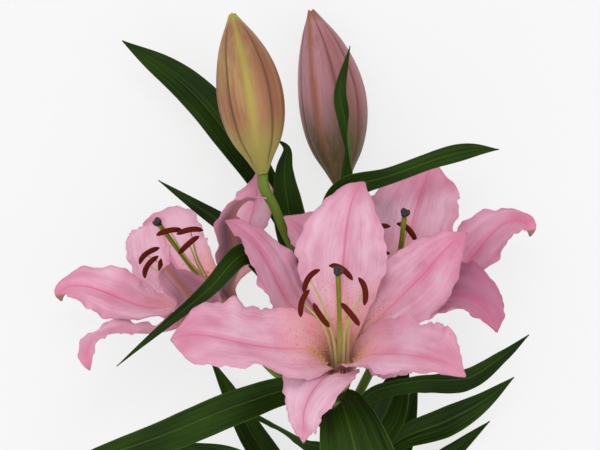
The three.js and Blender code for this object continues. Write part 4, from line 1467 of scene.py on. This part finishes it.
@dataclass(frozen=True)
class Leaf:
    """One leaf, from where it leaves the stem along its path; the roll turns it from face up."""

    along: Optional[float]
    round: float
    width: float
    path: Tuple[Triple, ...]
    roll: Tuple[float, ...] = (0, 0, 0)
    seat: float = 0.5
    spring: float = 2.5
    outline: Tuple[float, ...] = LANCE

    ROWS = 80
    COLUMNS = 28
    SHEATH = 10

    # The blade's relief in millimetres: pleats between its edges, the groove, and its edges' waves and
    # ripples; how far it is folded along its midrib, as a slope; and how its edges thin out and it cups
    PLEATS = 3.5
    PLEAT_HEIGHT = 0.14
    GROOVE_DEPTH = 0.5
    GROOVE_WIDTH = 1.1
    WAVE_HEIGHT = 0.8
    RIPPLE_HEIGHT = 0.35
    FOLD_SLOPE = 0.18
    EDGE_THINNING = 0.5
    CUPPING = (0.9, 0.5, 0.4, 0.4)
    TIP_HALF_WIDTH = 0.3

    def route(self) -> Tuple[List[Place], List[float]]:
        """The way that the leaf runs, with its root laid along the stem's side.

        Returns:
            The whole path and the roll at even stations along it.
        """
        if self.along is None:
            return list(self.path), list(self.roll)
        centre, tangent, radius = STEM.at(self.along)
        c, s = math.cos(math.radians(self.round)), math.sin(math.radians(self.round))
        flat = np.array([c, 0, s])
        out = unit(flat - (flat @ tangent) * tangent)
        root = centre + out * (radius + self.seat)
        sheath = root + tangent * self.SHEATH + out * self.spring
        root_roll = math.degrees(math.atan2(-c, s) if s > 0.3 else math.atan2(c, -s))
        return [root, sheath, *self.path], [root_roll, *self.roll]

    def build(self, name: str, seed: int) -> None:
        """Makes the leaf: lance-shaped, folded a little along its midrib, with parallel veins.

        Args:
            name: the CAD node that it stands for.
            seed: what its random numbers start from.
        """
        rng = np.random.default_rng(seed)
        path, roll = self.route()
        rows = path_rows(path, np.linspace(0, 1, self.ROWS + 1), roll)
        u = columns(self.COLUMNS)
        half = np.maximum(self.width * smooth(self.outline, rows.t), self.TIP_HALF_WIDTH)
        t = np.broadcast_to(rows.t[:, None], (len(rows.t), len(u)))
        sides = np.broadcast_to(u, t.shape)
        across = half[:, None] * sides
        curl = smooth(self.CUPPING, rows.t) / self.width
        reach = np.clip(t * 4, 0, 1) * np.clip((1 - t) * 5, 0, 1)
        wave = self.WAVE_HEIGHT * sides ** 2 * np.sin(FULL_TURN * (2 * t + np.where(sides < 0, 0, 0.4)))
        ripple = np.where(sides < 0, wobble(7 * t, rng), wobble(6 * t, rng))
        ripple = self.RIPPLE_HEIGHT * np.abs(sides) ** 3 * ripple
        pleats = self.PLEAT_HEIGHT * np.cos(FULL_TURN * self.PLEATS * sides) * ease(0, 0.2, t)
        fold = self.FOLD_SLOPE * np.abs(across)
        groove = self.GROOVE_DEPTH * hump(across, self.GROOVE_WIDTH) * ease(0.0, 0.1, t) * ease(1.0, 0.8, t)
        lift = reach * (wave + ripple + fold + pleats) - groove
        surface = bent_surface(rows, across, curl, lift)
        thickness = BLADE_THICKNESS * (1 - self.EDGE_THINNING * np.abs(sides) ** 4)
        shape = blade_shape(surface, thickness, rows, across, u, rng.uniform())
        shape.piece(f"{name}_skin", Finish.LEAF.material, "leaf", [name])


LEAVES = (
    Leaf(-74, 195, 12.5, ((-10.1, 3.5, 26), (-48, 60, 25), (-76, 91, 26), (-112, 116.1, 34)),
         (-10, -20, -20, 0), outline=BROAD_TIP),
    Leaf(-62, 200, 10.8, ((-3, -9, 41), (-8.4, 18, 43), (-9.6, 34, 45), (-8, 47, 47), (-14, 53, 48)),
         (0, 0, 0, 0, 20), 0.8, 3),
    Leaf(-44, 80, 6, ((20.6, -7.9, 46), (26, 13, 46), (30.4, 31, 51), (31, 45.9, 55.8), (28, 65, 53.4),
                      (25, 82.9, 54), (31, 111, 51)), (10, 20, 75, 10, 0), outline=NARROW_FOOT),
    Leaf(-66, 15, 7, ((26, -30, 51.8), (20, -10, 57), (18, 8, 64), (28, 22, 70), (55, 30, 75),
                      (83.3, 40, 77), (104, 45, 76), (121, 46, 70)), (10, 0, 0, 10, 0), outline=WAISTED),
    Leaf(-90, 225, 8, ((-24, -16, 12), (-48, 0, 1), (-68, 13, -6), (-92, 29, -5)), (-10, 0, 0)),
    Leaf(-96, 140, 7, ((5, -72, 62), (-7, -48, 77), (-23, -23, 90), (-35, -18, 98), (-54, -38, 107),
                       (-82, -61, 104), (-109, -84, 92)), (20, 0, 0, 0, 15, 0), 0.2, outline=SLIM_END),
    Leaf(-140, 150, 11, ((0, -102, 62), (-36, -109, 72), (-85, -129, 66), (-136, -149, 50),
                         (-172, -172, 38)), (0, 10, 10, 0)),
    Leaf(None, 90, 24, ((24, -107, 78.5), (24.5, -106, 88.2), (26.5, -110, 101), (31, -126, 109),
                        (37, -152, 110), (42, -186, 99.8), (45.3, -222, 82))),
    Leaf(-130, 30, 8.5, ((45, -104.4, 44.5), (72, -97, 46), (103.8, -95, 48), (126, -81.2, 49),
                         (142, -68, 50)), (-40, -40, -10, 0), 0.2),
    Leaf(-154, 5, 13, ((43.1, -135, 38), (54, -118.3, 34.6), (61.7, -99, 35), (67, -82.5, 32)),
         (0, 0, 10, 10), spring=4),
    Leaf(-172, 110, 4.5, ((16, -141, 50), (4, -135, 52), (-14, -125, 52), (-35, -116, 46)), (0, 30, 60, 0)),
    Leaf(-176, 10, 9.5, ((60, -137, 36), (91, -124, 34), (114, -112, 32), (135, -96, 32)), (20, 0, 0),
         outline=SLIM_FOOT),
    Leaf(-190, 200, 9.5, ((-6, -165, 22), (-29, -137, 12), (-46, -107, 8), (-58, -86, 8)), (-10, 0, 0)),
    Leaf(-200, 0, 9, ((52, -164, 28), (64, -138, 24), (70, -118, 21), (75, -98, 18)), (10, 0, 0)),
    Leaf(-222, 170, 9, ((-6, -173, 36), (-38, -149, 36), (-63, -142, 34), (-93, -140, 34)), (-20, 0, 0)),
    Leaf(-226, -10, 9, ((58, -188, 18), (84, -158, 11), (103, -142, 10), (122, -126, 12)), (10, 0, 0)),
    Leaf(-250, 210, 9, ((6, -215, 12), (-13, -171, 5), (-27, -139, 3), (-37, -124, 4)), (-10, 0, 0)),
    Leaf(-268, 175, 9.5, ((-10, -238, 12), (-50, -206, 6), (-92, -180, 3), (-124, -168, 2)), (-10, 0, 0)),
    Leaf(-285, 0, 9.5, ((62, -250, 14), (105, -220, 6), (140, -200, 3)), (10, 0, 0)),
    Leaf(-308, 185, 9, ((0, -275, 10), (-36, -250, 5), (-66, -238, 2)), (-10, 0, 0)),
    Leaf(-325, 10, 9, ((58, -298, 10), (92, -278, 5), (120, -264, 3)), (10, 0, 0)),
)


# Studio
@dataclass(frozen=True)
class Softbox:
    """A square area light that shines at the middle of the view."""

    name: str
    place: Triple
    size: float
    watts: float

    def build(self, target: np.ndarray) -> None:
        """Adds the light.

        Args:
            target: the point that it shines at.
        """
        data = bpy.data.lights.new(self.name, "AREA")
        data.size = self.size
        data.energy = self.watts
        lamp = bpy.data.objects.new(self.name, data)
        lamp.location = self.place
        away = unit(np.array(self.place) - target)
        lamp.rotation_euler = (math.acos(away[2]), 0, math.atan2(away[1], away[0]) + math.pi / 2)
        bpy.context.scene.collection.objects.link(lamp)


@dataclass(frozen=True)
class Studio:
    """The pale floor, the soft light and the camera that looks straight down, in metres."""

    floor_side: float = 8.0
    camera_height: float = 1.1
    lens: float = 101.6
    sensor: float = 36.0
    far_clip: float = 20.0
    aim_height: float = 0.05
    sky: float = 0.55
    glow: float = 0.735
    softboxes: Tuple[Softbox, ...] = (
        Softbox("key_softbox", (-0.7, 0.5, 1.45), 1.3, 5.7),
        Softbox("top_softbox", (0.1, 0.8, 1.45), 0.6, 3.9),
        Softbox("fill_softbox", (0.9, -0.1, 1.3), 1.2, 5.0),
        Softbox("low_softbox", (-0.2, -1.1, 1.2), 1.2, 7.2),
    )

    def add_floor(self) -> None:
        """A plain pale floor under the whole lily."""
        half = self.floor_side / 2
        mesh = bpy.data.meshes.new("floor")
        corners = [(-half, -half, 0), (half, -half, 0), (half, half, 0), (-half, half, 0)]
        mesh.from_pydata(corners, [], [(0, 1, 2, 3)])
        graph = Graph("floor_paper")
        spot = graph.node("ShaderNodeTexCoord", {}, {}).outputs["Object"]
        grain = graph.node("ShaderNodeTexNoise", {}, {"Vector": spot, "Scale": 600.0, "Detail": 2.0})
        tint = graph.mix(srgb(118, 118, 118), srgb(122, 122, 122), grain.outputs["Fac"])
        mesh.materials.append(graph.finish(
            tint, 0.9, Specular_IOR_Level=0.0, Emission_Color=(1, 1, 1, 1), Emission_Strength=self.glow))
        floor = bpy.data.objects.new("floor", mesh)
        bpy.context.scene.collection.objects.link(floor)

    def add_camera(self) -> None:
        """A camera that looks straight down on the blooms, with the buds at the top of the picture."""
        data = bpy.data.cameras.new("camera")
        data.lens = self.lens
        data.sensor_width = self.sensor
        data.clip_end = self.far_clip
        camera = bpy.data.objects.new("camera", data)
        camera.location = (-MIDDLE[0] * METRES, -MIDDLE[1] * METRES, self.camera_height)
        bpy.context.scene.collection.objects.link(camera)
        bpy.context.scene.camera = camera

    def build(self) -> None:
        """Sets up the stage, the light and the camera."""
        self.add_floor()
        self.add_camera()
        scene = bpy.context.scene
        world = bpy.data.worlds.new("sky")
        world.use_nodes = True
        background = world.node_tree.nodes["Background"]
        background.inputs["Color"].default_value = (1, 1, 1, 1)
        background.inputs["Strength"].default_value = self.sky
        scene.world = world
        scene.view_settings.view_transform = "Standard"
        target = np.array([-MIDDLE[0] * METRES, -MIDDLE[1] * METRES, self.aim_height])
        for softbox in self.softboxes:
            softbox.build(target)


def main() -> None:
    """Builds the lily and its studio."""
    logging.basicConfig(level=logging.INFO, format="%(message)s")
    Studio().build()
    STEM.build()
    for number, bloom in enumerate(BLOOMS, start=1):
        bloom.build(BLOOM_SEED * number)
    for bud in BUDS:
        bud.build()
    for number, leaf in enumerate(LEAVES, start=1):
        leaf.build(f"leaf_{number:02d}", LEAF_SEED + number)


if __name__ == "__main__":
    main()
